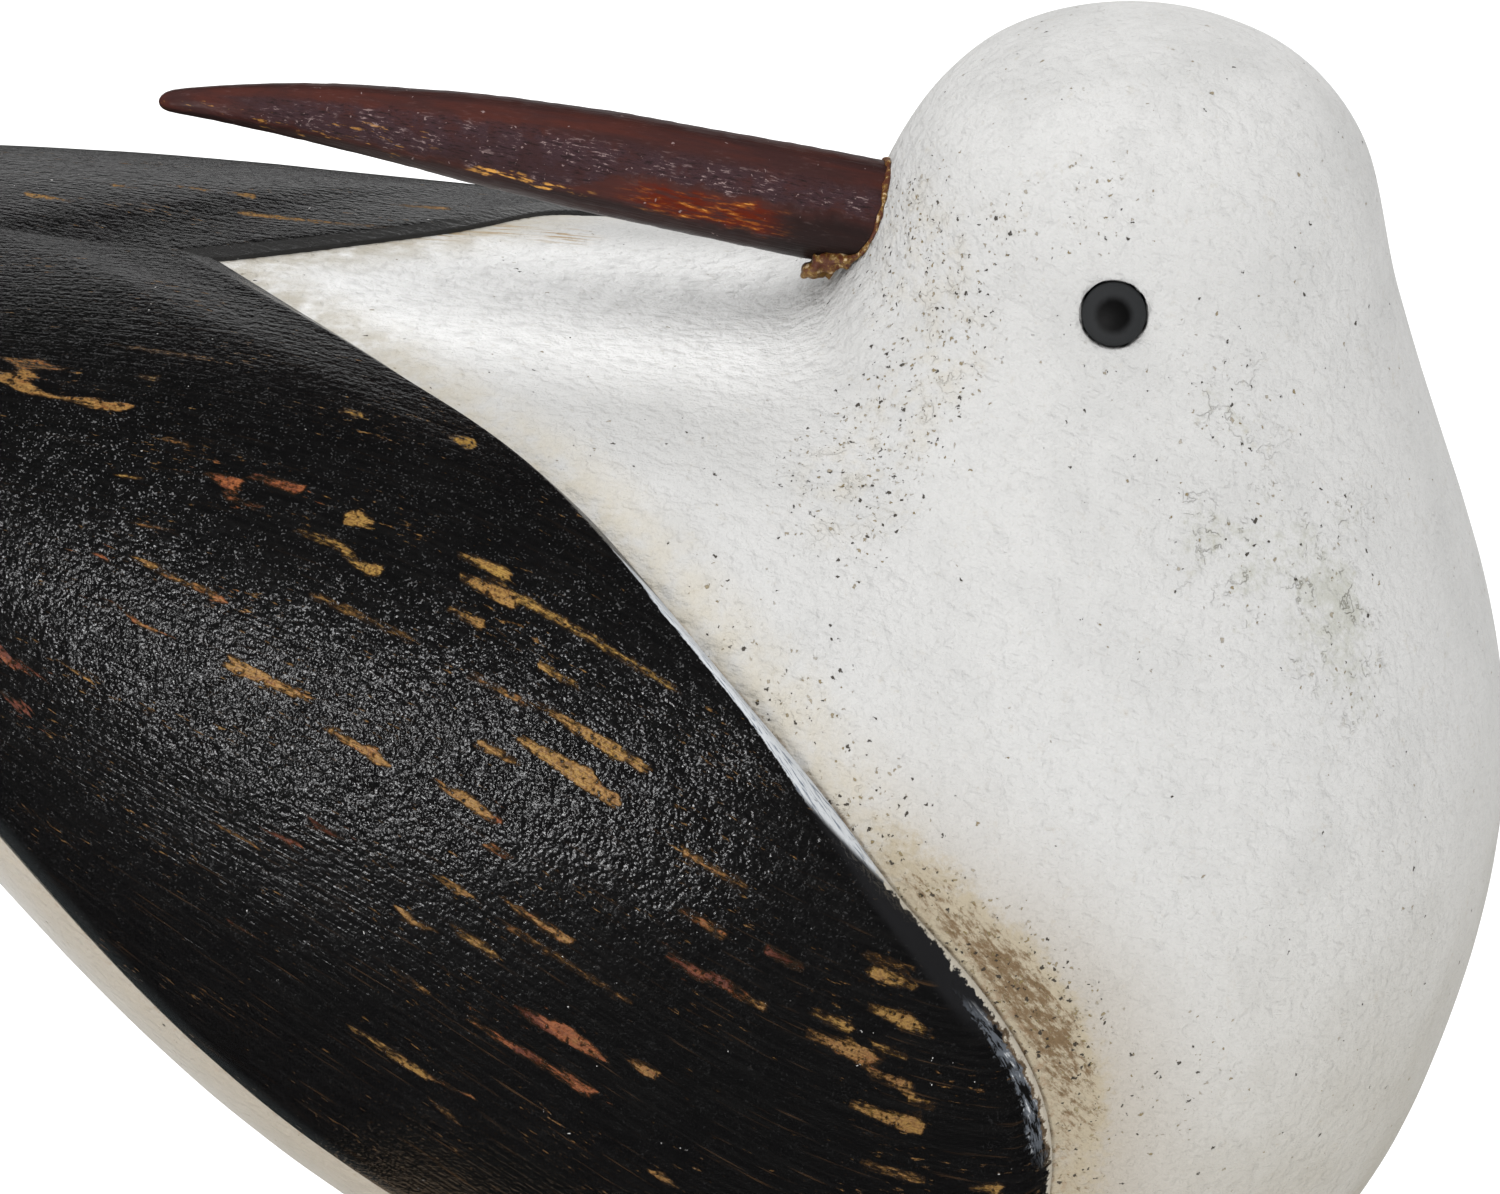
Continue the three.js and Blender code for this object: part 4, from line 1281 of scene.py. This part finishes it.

# Broad tones: a painted highlight on the crown, grey clouds, painted light under the beak against
# its shadow, and painted shade low down
cloudy = ease(clouds, 0.42, 0.68) * 0.55
axes = axes_of(place)
level = axes[2]
beside = ease(abs(axes[1]), 26.0, 10.0)
# Painted light under the beak, lifting the shadow that the beak casts on the back
painted_light_under_beak = ease(axes[0], 14.0, 0.0) * ease(level, 196.0, 204.0) * beside
# A painted highlight on the crown, lighter towards the top
colour = blend(ease(level, 222.0, 237.0), WHITE, WHITE_CROWN_HIGHLIGHT)
colour = blend(cloudy, colour, WHITE_GREY)
colour = blend(painted_light_under_beak, colour, WHITE_PAINTED_LIGHT)
faint = larger(brushed["Mask"] * 0.15, ease(dabs, 0.45, 0.75) * 0.3)
colour = blend(faint, colour, WHITE_GREY)
# Painted shade low on the body, darker and warmer towards the bottom
low = ease(level, 180.0, 95.0) * 0.9 * (clouds * 0.8 + 0.5)
colour = blend(low, colour, WHITE_WARM_SHADE)

# Cream along the wings, and the shaded strip below them
near_wing = ease(edge, 10.0, 1.0) * ease(patches, 0.2, 0.65)
colour = blend(near_wing * 0.9, colour, CREAM)
below = ease(edge, 22.0, 2.0) * ease(level, 190.0, 150.0)
colour = blend(below * 0.75, colour, UNDER_WING)

# Tan and brown stain beside the wing, dust, grime and the rubbed spots behind the neck
fine_patches = noise(place, 1.0, 4.0, 0.7)
uneven = fine_patches * 1.3 + patches * 0.9
spread = stain * ease(edge, 9.5, 4.5)
tanned = ease(spread * 1.3 + uneven, 1.2, 1.9)
colour = blend(tanned * 0.8, colour, STAIN_TAN)
runs = noise(stretch(place, (1.6, 0.6, 0.55), -50 * DEGREE), 1.0, 4.0, 0.75)
brown = ease(runs * 3.0 + spread, 2.05, 2.75) * ease(edge, 0.5, 1.6)
colour = blend(brown * 0.85, colour, STAIN_AND_CREASE_SHADE)
dusty = ease(pits, 0.2, 0.9) * ease(patches, 0.4, 0.65)
colour = blend(dusty * 0.45, colour, CREAM)
grey = ease(grime * 0.9 + uneven, 1.5, 2.1)
colour = blend(grey * 0.6, colour, GRIME_GREY)
rubbed = noise(stretch(place, (8.0, 0.7, 0.7)), 1.0, 3.0, 0.5)
rubbed = ease(rubbed, 0.49, 0.58) * stored(tree, "rub")
colour = blend(rubbed * 0.8, colour, RUB_OCHRE)

# %% Pits and specks in the white paint

# Fine grey cracks where the paint is dirty, and brown dirt along the lower rim
wander = abs(noise(place, 2.4, 3.0, 0.6) - 0.5)
dirty = larger(grime, pits * 0.45)
crazed = ease(wander, 0.02, 0.004) * ease(patches, 0.48, 0.62) * dirty
colour = blend(crazed * 0.6, colour, CRACK_GREY)
rim_dirt = ease(edge, 3.5, 0.5) * ease(level, 172.0, 150.0) * ease(fine_patches, 0.5, 0.64)
colour = blend(rim_dirt * 0.55, colour, RIM_BROWN)

# Olive and dark specks, thick where dirt has gathered and rare elsewhere
dirt = (pits + stain + grime * 0.25) * 0.55
gaps = ease(clouds, 0.4, 0.6)
olive_amount = dirt + gaps * 0.02
olive = use_group(specks,
                  {"Vector": place, "Spacing": 0.58, "Radius": 0.2, "Amount": olive_amount})
shade = olive["Mask"] * (olive["Tone"] * 0.6 + 0.35)
colour = blend(shade, colour, OLIVE)
dark_amount = dirt + gaps * 0.035
dark = use_group(specks, {"Vector": place, "Spacing": 0.75, "Radius": 0.2, "Amount": dark_amount})
colour = blend(dark["Mask"] * 0.95, colour, PIT_DARK)

# A thin dark line in the crease at the wing, dirt with painted shade, and painted shade inside the
# eye sockets
line = ease(edge, 0.55, 0.15) * ease(patches, 0.35, 0.6)
colour = blend(line * 0.7, colour, STAIN_AND_CREASE_SHADE)
colour = blend(socket, colour, SOCKET_SHADE)
wire(colour, shader, "Base Color")

# Paint stands up in dabs, and cracks and pits go down
relief = dabs + patches * 0.8 + pebbles * 0.9 + brushed["Height"] * 0.35
relief = relief - crazed * 0.5 - dark["Mask"] * 0.5 - olive["Mask"] * 0.2
wire(bump(relief, 0.56 * MM), shader, "Normal")
wire(pebbles * 0.2 + 0.68, shader, "Roughness")
print("white paint has", len(tree.nodes), "nodes")

# %% [markdown]
# ## Black paint, worn through to the wood
#
# The black is a thin satin paint that dried grainy, so it glitters where the lamp is reflected.
# Pale grains are painted on it as glints, thickest in a band along the middle of each wing.
# Sanding has cut through it along the grain, down to ochre and reddish wood, and thin brown
# fibres show where the paint is thinnest; low on the wing the bare wood is painted darker as
# shade. Part of the sloping edge is white, where the two paints were never trimmed. A grey sheen
# is painted along the lower rim, and the foot of the slope near the front is painted lighter
# against its shade.

# %% Black paint colours

BLACK = (0.0032, 0.0031, 0.0032, 1)
BLACK_GREY = (0.0065, 0.0062, 0.006, 1)
GRAIN_AND_GLINT_GREY = (0.010, 0.010, 0.0103, 1)
GLINT_PALE = (0.21, 0.21, 0.213, 1)
BEVEL_GREY = (0.010, 0.010, 0.0108, 1)
OCHRE = (0.28, 0.165, 0.032, 1)
TAN = (0.26, 0.140, 0.034, 1)
ORANGE = (0.25, 0.075, 0.018, 1)
RED_BROWN = (0.115, 0.028, 0.012, 1)
SHADOW_BROWN = (0.024, 0.013, 0.006, 1)
FIBRE_BROWN = (0.050, 0.026, 0.011, 1)
WALL_WHITE = (0.42, 0.435, 0.45, 1)
WALL_BLUE = (0.13, 0.15, 0.18, 1)
RIM_SHEEN_GREY = (0.022, 0.026, 0.027, 1)
FOOT_PAINTED_LIGHT = (0.030, 0.0295, 0.029, 1)
CHIP_GREY = (0.075, 0.085, 0.10, 1)
CHIP_BROWN = (0.085, 0.055, 0.028, 1)
EDGE_CREAM = (0.42, 0.385, 0.32, 1)
DUST = (0.50, 0.49, 0.47, 1)
PORE_SHADE = (0.45, 0.36, 0.28, 1)
OUTLINE_LENGTH = 444.0
SLOPE_WIDTH = 3.0

# %% Black paint

tree, shader = new_material("black_paint", [wings], 0.3, 0.4)
place = millimetres(tree)
climb, rib, wear, red, painted_glint_spots = (
    stored(tree, label) for label in ("climb", "rib", "wear", "red", "painted_glint_spots")
)
chart = join_axes(stored(tree, "grain_along"), stored(tree, "grain_across"))
fine = use_group(wood_grain, {"Vector": chart, "Length": 9.0, "Width": 0.6})
grit_and_glint = noise(place, 0.62, 1.4, 0.55)
lumps = noise(place, 1.4, 2.0, 0.5)

# Black with a little grey along the grain, and pale grains painted as glints in the glint spots
# and a little on the upper wing
greyer = ease(fine["Bands"], 0.4, 0.7) * 0.6
colour = blend(greyer, BLACK, BLACK_GREY)
high = ease(axes_of(place)[2], 150.0, 185.0)
glint_mask = larger(painted_glint_spots, high * 0.12)
glinting_grains = ease(lumps * 0.3 + grit_and_glint, 0.68, 0.86)
colour = blend(glinting_grains * glint_mask, colour, GRAIN_AND_GLINT_GREY)
coarse = noise(place, 0.27, 1.0, 0.5)
glint_specks = ease(lumps * 0.35 + coarse, 0.79, 0.93) * (glint_mask * 0.95 + 0.03)
colour = blend(glint_specks, colour, GLINT_PALE)

# %% Worn streaks in the black paint

# Bare wood: the listed streaks with torn ends, and small flecks sown in clusters
torn = noise(stretch(chart, (1.5, 0.42, 1.0)), 1.0, 4.0, 0.65)
ragged = torn * 1.9 + grit_and_glint * 0.6 + wear - 1.25
listed = ease(ragged, -0.1, 0.3)
clusters = noise(stretch(chart, (16.0, 6.0, 1.0)), 1.0, 2.0, 0.5)
small = noise(stretch(chart, (1.9, 0.5, 1.0)), 1.0, 3.0, 0.6)
sown = clusters * 0.42 + small
scattered = ease(sown, 0.885, 0.945)
bare = larger(listed, scattered * 0.7) * ease(grit_and_glint, 0.3, 0.46)

# Around it the paint is thin and looks brown, and so do single fibres of the grain
halo = larger(ease(ragged, -0.45, 0.0), ease(sown, 0.85, 0.91))
colour = blend(halo * 0.6, colour, SHADOW_BROWN)
fibres = noise(stretch(chart, (13.0, 0.55, 1.0)), 1.0, 2.0, 0.6)
thin = ease(fibres, 0.61, 0.76) * (0.6 - high * 0.5)
colour = blend(thin, colour, FIBRE_BROWN)

# The wood itself: ochre, tan, orange or red-brown, darker in its pores, and darker low on the wing
# as painted shade
red_noise = torn * 0.9 + clusters * 0.6 + red - 0.75
wood = blend(ease(red_noise, 0.08, 0.38), OCHRE, TAN)
wood = blend(ease(red_noise, 0.42, 0.68), wood, ORANGE)
wood = blend(ease(red_noise, 0.75, 0.98), wood, RED_BROWN)
darker = blend(1.0, wood, PORE_SHADE, "MULTIPLY")
wood = blend(ease(fine["Pores"], 0.42, 0.66), wood, darker)
wood = blend(ease(coarse, 0.52, 0.36), wood, darker)
# Painted shade: bare wood darker low on the wing
wood = blend(0.45 - high * 0.45, wood, darker)
colour = blend(bare, colour, wood)

# %% White and chipped parts of the wing edge

# A chart of the edge: millimetres along the outline and up the slope
edge_line = join_axes(rib * OUTLINE_LENGTH, climb * SLOPE_WIDTH)
scratched = noise(stretch(edge_line, (3.0, 0.38, 1.0)), 1.0, 4.0, 0.65)
flakes = noise(place, 1.1, 4.0, 0.65)
# Painted light: the foot of the slope near the front is lightened to grey against its shade
foot_light_mask = ease(rib, 0.17, 0.155) * ease(climb, 1.1, 0.8)
colour = blend(foot_light_mask, colour, FOOT_PAINTED_LIGHT)

# The white wall on the upper part of the slope, with bluish dashes, and the plain bevel after it
widened = window(rib, 0.2, 0.262, 0.022)
inner = flakes * 0.3 + climb - widened * 0.5
wall = window(rib, 0.174, 0.286, 0.006) * ease(inner, 1.16, 1.08)
dashes = noise(stretch(edge_line, (3.2, 0.3, 1.0)), 1.0, 3.0, 0.6)
wall_colour = blend(ease(dashes, 0.51, 0.63), WALL_WHITE, WALL_BLUE)
colour = blend(wall, colour, wall_colour)
bevel = window(rib, 0.288, 0.35, 0.008) * ease(climb, 1.15, 0.7)
colour = blend(bevel, colour, BEVEL_GREY)
# A painted sheen: lighter grey along the lower rim of the wing
lower_rim_sheen = window(rib, 0.47, 0.95, 0.02) * window(climb, 0.3, 1.3, 0.5)
colour = blend(lower_rim_sheen * 0.7, colour, RIM_SHEEN_GREY)

# The chipped strip further down, and the cream line at its foot
chips = window(rib, 0.342, 0.39, 0.006)
chipped = chips * ease(flakes * 0.9 + climb, 1.05, 0.9)
chip_colour = blend(ease(scratched, 0.56, 0.66), CHIP_GREY, WALL_WHITE)
chip_colour = blend(ease(scratched, 0.5, 0.44), chip_colour, BLACK)
foot = ease(flakes * 0.5 + climb, 0.5, 0.42)
chip_colour = blend(foot, chip_colour, CHIP_BROWN)
colour = blend(chipped * 0.9, colour, chip_colour)
seam = window(rib, 0.28, 0.47, 0.01) * ease(flakes * 0.7 + climb, 0.5, 0.42)
colour = blend(seam * 0.8, colour, EDGE_CREAM)

# %% Dust, gloss and grain of the black paint

dust = use_group(specks, {"Vector": place, "Spacing": 1.5, "Radius": 0.13, "Amount": 0.12})
colour = blend(dust["Mask"] * 0.8, colour, DUST)
wire(colour, shader, "Base Color")
not_black = larger(bare, larger(wall, chipped))
wire(not_black * 0.3 + lumps * 0.16 + 0.12, shader, "Roughness")
relief = (lumps * 0.8 + grit_and_glint) * (glint_mask * 0.75 + 0.25)
relief = relief + fine["Bands"] * 0.3 - bare * 0.5
wire(bump(relief, 0.42 * MM), shader, "Normal")
print("black paint has", len(tree.nodes), "nodes")

# %% [markdown]
# ## Stain on the beak
#
# The beak carries a red-brown stain. Along its side the finish has dried rough and greyish, and
# there are pale flecks where the grain was caught. Its lower side carries painted bounce light, an
# orange glow, and its lowest edge, its top and its root are darkened with painted shade. The mesh
# stores how far up each point faces and how far it is from the face.

# %% Beak finish

STAIN_RED = (0.037, 0.0155, 0.0145, 1)
STAIN_BRIGHT = (0.056, 0.017, 0.013, 1)
STAIN_GREY = (0.042, 0.022, 0.026, 1)
STAIN_DARK_AND_SHADE = (0.013, 0.0085, 0.008, 1)
BOUNCE_RED = (0.090, 0.010, 0.002, 1)
BOUNCE_ORANGE = (0.30, 0.085, 0.010, 1)
FLECK = (0.55, 0.27, 0.06, 1)
PALE_FLECK = (0.33, 0.24, 0.23, 1)

tree, shader = new_material("beak_stain", [beak], 0.36, 0.1)
place = millimetres(tree)
step, up = stored(tree, "step"), stored(tree, "up")
lying = stretch(place, (1.0, 1.0, 1.0), -12 * DEGREE)
fine = use_group(wood_grain, {"Vector": lying, "Length": 7.0, "Width": 0.45})
broad = use_group(wood_grain, {"Vector": lying, "Length": 16.0, "Width": 2.4})
cloud = noise(lying, 3.0, 3.0, 0.6)
edge_up = cloud * 0.5 + up - 0.25
colour = blend(ease(broad["Bands"], 0.38, 0.66), STAIN_RED, STAIN_BRIGHT)

# The rough greyish band along the side
lower_limit = 0.26 - ease(step, 24.0, 34.0) * 0.55
above = ease(edge_up - lower_limit, -0.05, 0.1)
band = ease(edge_up, 0.8, 0.6) * above * ease(step, 74.0, 62.0)
crust = ease(fine["Pores"] * 0.6 + cloud, 0.62, 0.86)
colour = blend(band * (crust * 0.6 + 0.3), colour, STAIN_GREY)

# Below the band, painted bounce light makes the underside glow orange, and painted shade darkens
# the lowest edge, the top and the root
under = ease(edge_up, 0.2, 0.05) * ease(edge_up, -0.52, -0.28)
under = under * window(step, 9.0, 25.0, 3.0) * ease(broad["Pores"], 0.35, 0.6)
colour = blend(under, colour, BOUNCE_RED)
rim_shade = larger(ease(edge_up, -0.28, -0.52), ease(up, 0.93, 1.0) * 0.5)
colour = blend(rim_shade * 0.75, colour, STAIN_DARK_AND_SHADE)
root_shade = ease(step, 12.0, 7.0) * ease(edge_up, 0.35, 0.0)
colour = blend(root_shade * 0.8, colour, STAIN_DARK_AND_SHADE)

# %% Flecks on the beak

splinters = noise(stretch(lying, (1.4, 0.28, 0.28)), 1.0, 4.0, 0.7)
dark_gaps = ease(splinters, 0.46, 0.36) * (band * 0.5 + 0.2)
colour = blend(dark_gaps, colour, STAIN_DARK_AND_SHADE)
caught = ease(splinters, 0.56, 0.64) * (band * 0.85 + 0.08) * ease(cloud, 0.42, 0.64)
colour = blend(caught * 0.8, colour, PALE_FLECK)
torn = noise(stretch(lying, (2.6, 0.7, 0.5)), 1.0, 4.0, 0.65)
# Orange patches and flecks inside the painted bounce light
orange = under * ease(torn, 0.5, 0.64)
colour = blend(orange * 0.8, colour, BOUNCE_ORANGE)
bounce_flecks = under * ease(torn, 0.63, 0.7)
low_line = window(edge_up, -0.42, -0.26, 0.03) * window(step, 30.0, 42.5, 1.5)
low_line = low_line * ease(torn, 0.5, 0.62)
colour = blend(larger(bounce_flecks, low_line), colour, FLECK)
tip_flecks = window(step, 48.0, 77.0, 3.0) * window(edge_up, -0.6, 0.35, 0.1)
tip_flecks = tip_flecks * ease(torn, 0.6, 0.68)
colour = blend(tip_flecks * 0.5, colour, FLECK)
crumbs = use_group(specks,
                   {"Vector": place, "Spacing": 0.62, "Radius": 0.15, "Amount": band * 0.4 + 0.04})
colour = blend(crumbs["Mask"] * 0.55, colour, PALE_FLECK)
wire(colour, shader, "Base Color")
wire(band * 0.25 + cloud * 0.15 + 0.27, shader, "Roughness")
relief = fine["Bands"] * 0.5 + crumbs["Mask"] * 0.3 + band * splinters * 2.0
wire(bump(relief, 0.15 * MM), shader, "Normal")
print("beak stain has", len(tree.nodes), "nodes")

# %% [markdown]
# ## Glue, glass, dowel and bare wood
#
# Dried glue is cream to brown and a little glossy. The bead is black glass that handling has
# dulled towards its rim, and a lighter ring there is a painted reflection. The dowels have the
# same stain as the beak. The base never had paint: it is grey-brown weathered wood with open
# grain.

# %% Glue finish

GLUE_CREAM = (0.46, 0.33, 0.20, 1)
GLUE_BROWN = (0.085, 0.022, 0.008, 1)
GLUE_YELLOW = (0.19, 0.105, 0.018, 1)

tree, shader = new_material("dried_glue", [glue], 0.45, 0.4)
place = millimetres(tree)
mottled = noise(place, 0.8, 4.0, 0.7)
colour = blend(ease(mottled, 0.46, 0.58), GLUE_BROWN, GLUE_YELLOW)
colour = blend(ease(mottled, 0.57, 0.64), colour, GLUE_CREAM)
level = axes_of(place)[2]
colour = blend(ease(level, 212.5, 210.5) * 0.5, colour, GLUE_YELLOW)
wire(colour, shader, "Base Color")
wire(bump(mottled, 0.25 * MM), shader, "Normal")
print("dried glue has", len(tree.nodes), "nodes")

# %% Bead finish

BEAD_CENTRE = (0.002, 0.002, 0.002, 1)
BEAD_RING_SHEEN = (0.020, 0.021, 0.022, 1)

tree, shader = new_material("black_glass", beads.values(), 0.5, 0.12)
out = stored(tree, "radius")
grain = noise(millimetres(tree), 0.5, 3.0, 0.6)
# A painted reflection: a lighter ring towards the rim, which is also a little rougher
sheen_ring = ease(grain * 0.3 + out, 1.5, 2.5)
wire(blend(sheen_ring, BEAD_CENTRE, BEAD_RING_SHEEN), shader, "Base Color")
wire(sheen_ring * 0.1 + 0.5, shader, "Roughness")
wire(bump(grain, 0.02 * MM), shader, "Normal")
print("black glass has", len(tree.nodes), "nodes")

# %% Dowel finish

tree, shader = new_material("stained_dowel", legs.values(), 0.42, 0.35)
upright = stretch(millimetres(tree), (1.0, 1.0, 1.0), 90 * DEGREE)
fine = use_group(wood_grain, {"Vector": upright, "Length": 12.0, "Width": 0.5})
broad = use_group(wood_grain, {"Vector": upright, "Length": 30.0, "Width": 2.6})
colour = blend(ease(broad["Bands"], 0.36, 0.66), STAIN_RED, STAIN_BRIGHT)
colour = blend(ease(fine["Pores"], 0.45, 0.7) * 0.6, colour, STAIN_DARK_AND_SHADE)
torn = noise(stretch(upright, (5.0, 0.8, 0.8)), 1.0, 4.0, 0.65)
colour = blend(ease(torn, 0.62, 0.68) * 0.7, colour, OCHRE)
wire(colour, shader, "Base Color")
wire(fine["Pores"] * 0.25 + 0.3, shader, "Roughness")
wire(bump(fine["Bands"], 0.1 * MM), shader, "Normal")
print("stained dowel has", len(tree.nodes), "nodes")

# %% Base finish

WOOD_LIGHT = (0.40, 0.285, 0.175, 1)
WOOD_MID = (0.26, 0.17, 0.095, 1)
WOOD_DARK = (0.075, 0.045, 0.026, 1)
WOOD_GREY = (0.27, 0.235, 0.19, 1)

tree, shader = new_material("weathered_wood", [base], 0.7, 0.3)
place = millimetres(tree)
slab = stretch(place, (1.0, 1.0, 0.6))
fine = use_group(wood_grain, {"Vector": slab, "Length": 26.0, "Width": 0.7})
broad = use_group(wood_grain, {"Vector": slab, "Length": 110.0, "Width": 5.0})
colour = blend(ease(broad["Bands"], 0.36, 0.64), WOOD_LIGHT, WOOD_MID)
colour = blend(ease(fine["Bands"], 0.42, 0.7) * 0.6, colour, WOOD_DARK)
patches = noise(place, 18.0, 3.0, 0.6)
colour = blend(ease(patches, 0.42, 0.66) * 0.7, colour, WOOD_GREY)
cracks = ease(noise(stretch(place, (26.0, 0.55, 3.0)), 1.0, 2.0, 0.5), 0.66, 0.72)
colour = blend(cracks * 0.85, colour, WOOD_DARK)
holes = use_group(specks, {"Vector": place, "Spacing": 7.0, "Radius": 0.5, "Amount": 0.14})
colour = blend(holes["Mask"] * 0.9, colour, PIT_DARK)
wire(colour, shader, "Base Color")
wire(bump(fine["Bands"] - cracks * 0.8 - holes["Mask"], 0.25 * MM), shader, "Normal")
wire(fine["Pores"] * 0.2 + 0.6, shader, "Roughness")
print("weathered wood has", len(tree.nodes), "nodes")

# %% [markdown]
# ## Floor and light
#
# The statue stands on a plain pale floor. Most of the light is soft and even: it comes from a
# pale world, a large panel overhead and three panels to the left, to the right and in front.
# Glossy paint would show all of them as one grey haze, so they are hidden from reflections. Only
# two panels are mirrored. A small bright one, low in front and to the left, draws the glitter on
# the near wing, and a wide low one behind greys the upper part of both wings.

# %% Floor

FLOOR_HALF = 6.0
FLOOR_GAP = 0.0004
FLOOR_PAINT = (0.93, 0.93, 0.93, 1)

corner_signs = np.array([[-1, -1], [1, -1], [1, 1], [-1, 1]])
floor_corners = np.column_stack((corner_signs * FLOOR_HALF, np.full(4, -FLOOR_GAP)))
floor_mesh = bpy.data.meshes.new("floor")
floor_mesh.from_pydata(floor_corners.tolist(), [], [[0, 1, 2, 3]])
floor = bpy.data.objects.new("floor", floor_mesh)
bpy.context.scene.collection.objects.link(floor)
tree, shader = new_material("pale_floor", [floor], 0.9, 0.0)
shader["Base Color"].default_value = FLOOR_PAINT
floor.visible_glossy = False

# %% Lights

WORLD_GREY = 0.80


def soft_panel(name, azimuth, elevation, distance, size, power, mirrored=False):
    """Rectangular lamp at an azimuth from the camera's side and an elevation, both in degrees,
    that looks back at the middle of the bird. Only a mirrored one shows in glossy paint."""
    data = bpy.data.lights.new(name, "AREA")
    data.shape = "RECTANGLE"
    data.size, data.size_y = size
    data.energy = power
    lamp = bpy.data.objects.new(name, data)
    bpy.context.scene.collection.objects.link(lamp)
    a, e = azimuth * DEGREE, elevation * DEGREE
    heading = np.array([np.sin(a) * np.cos(e), -np.cos(a) * np.cos(e), np.sin(e)])
    lamp.location = LOOK_AT + distance * heading
    lamp.rotation_euler = (HALF_TURN / 2 - e, 0, a)
    lamp.visible_camera = False
    lamp.visible_glossy = mirrored
    return lamp


soft_panel("key_panel", -21, 3, 0.65, (0.11, 0.22), 1.9, True)
soft_panel("high_panel", -8, 50, 1.3, (1.2, 0.8), 2.5)
soft_panel("left_panel", -85, 38, 1.2, (1.0, 1.0), 3.0)
soft_panel("fill_panel", 80, 24, 1.3, (0.9, 1.0), 6.6)
soft_panel("back_panel", 180, 11, 1.3, (1.8, 0.55), 2.1, True)
soft_panel("top_panel", -120, 72, 1.6, (2.0, 2.0), 19.0)

world = bpy.data.worlds.new("studio")
world.use_nodes = True
world.node_tree.nodes["Background"].inputs["Color"].default_value = (
    WORLD_GREY, WORLD_GREY, WORLD_GREY, 1)
bpy.context.scene.world = world
world.cycles_visibility.glossy = False
bpy.context.scene.view_settings.view_transform = "Standard"
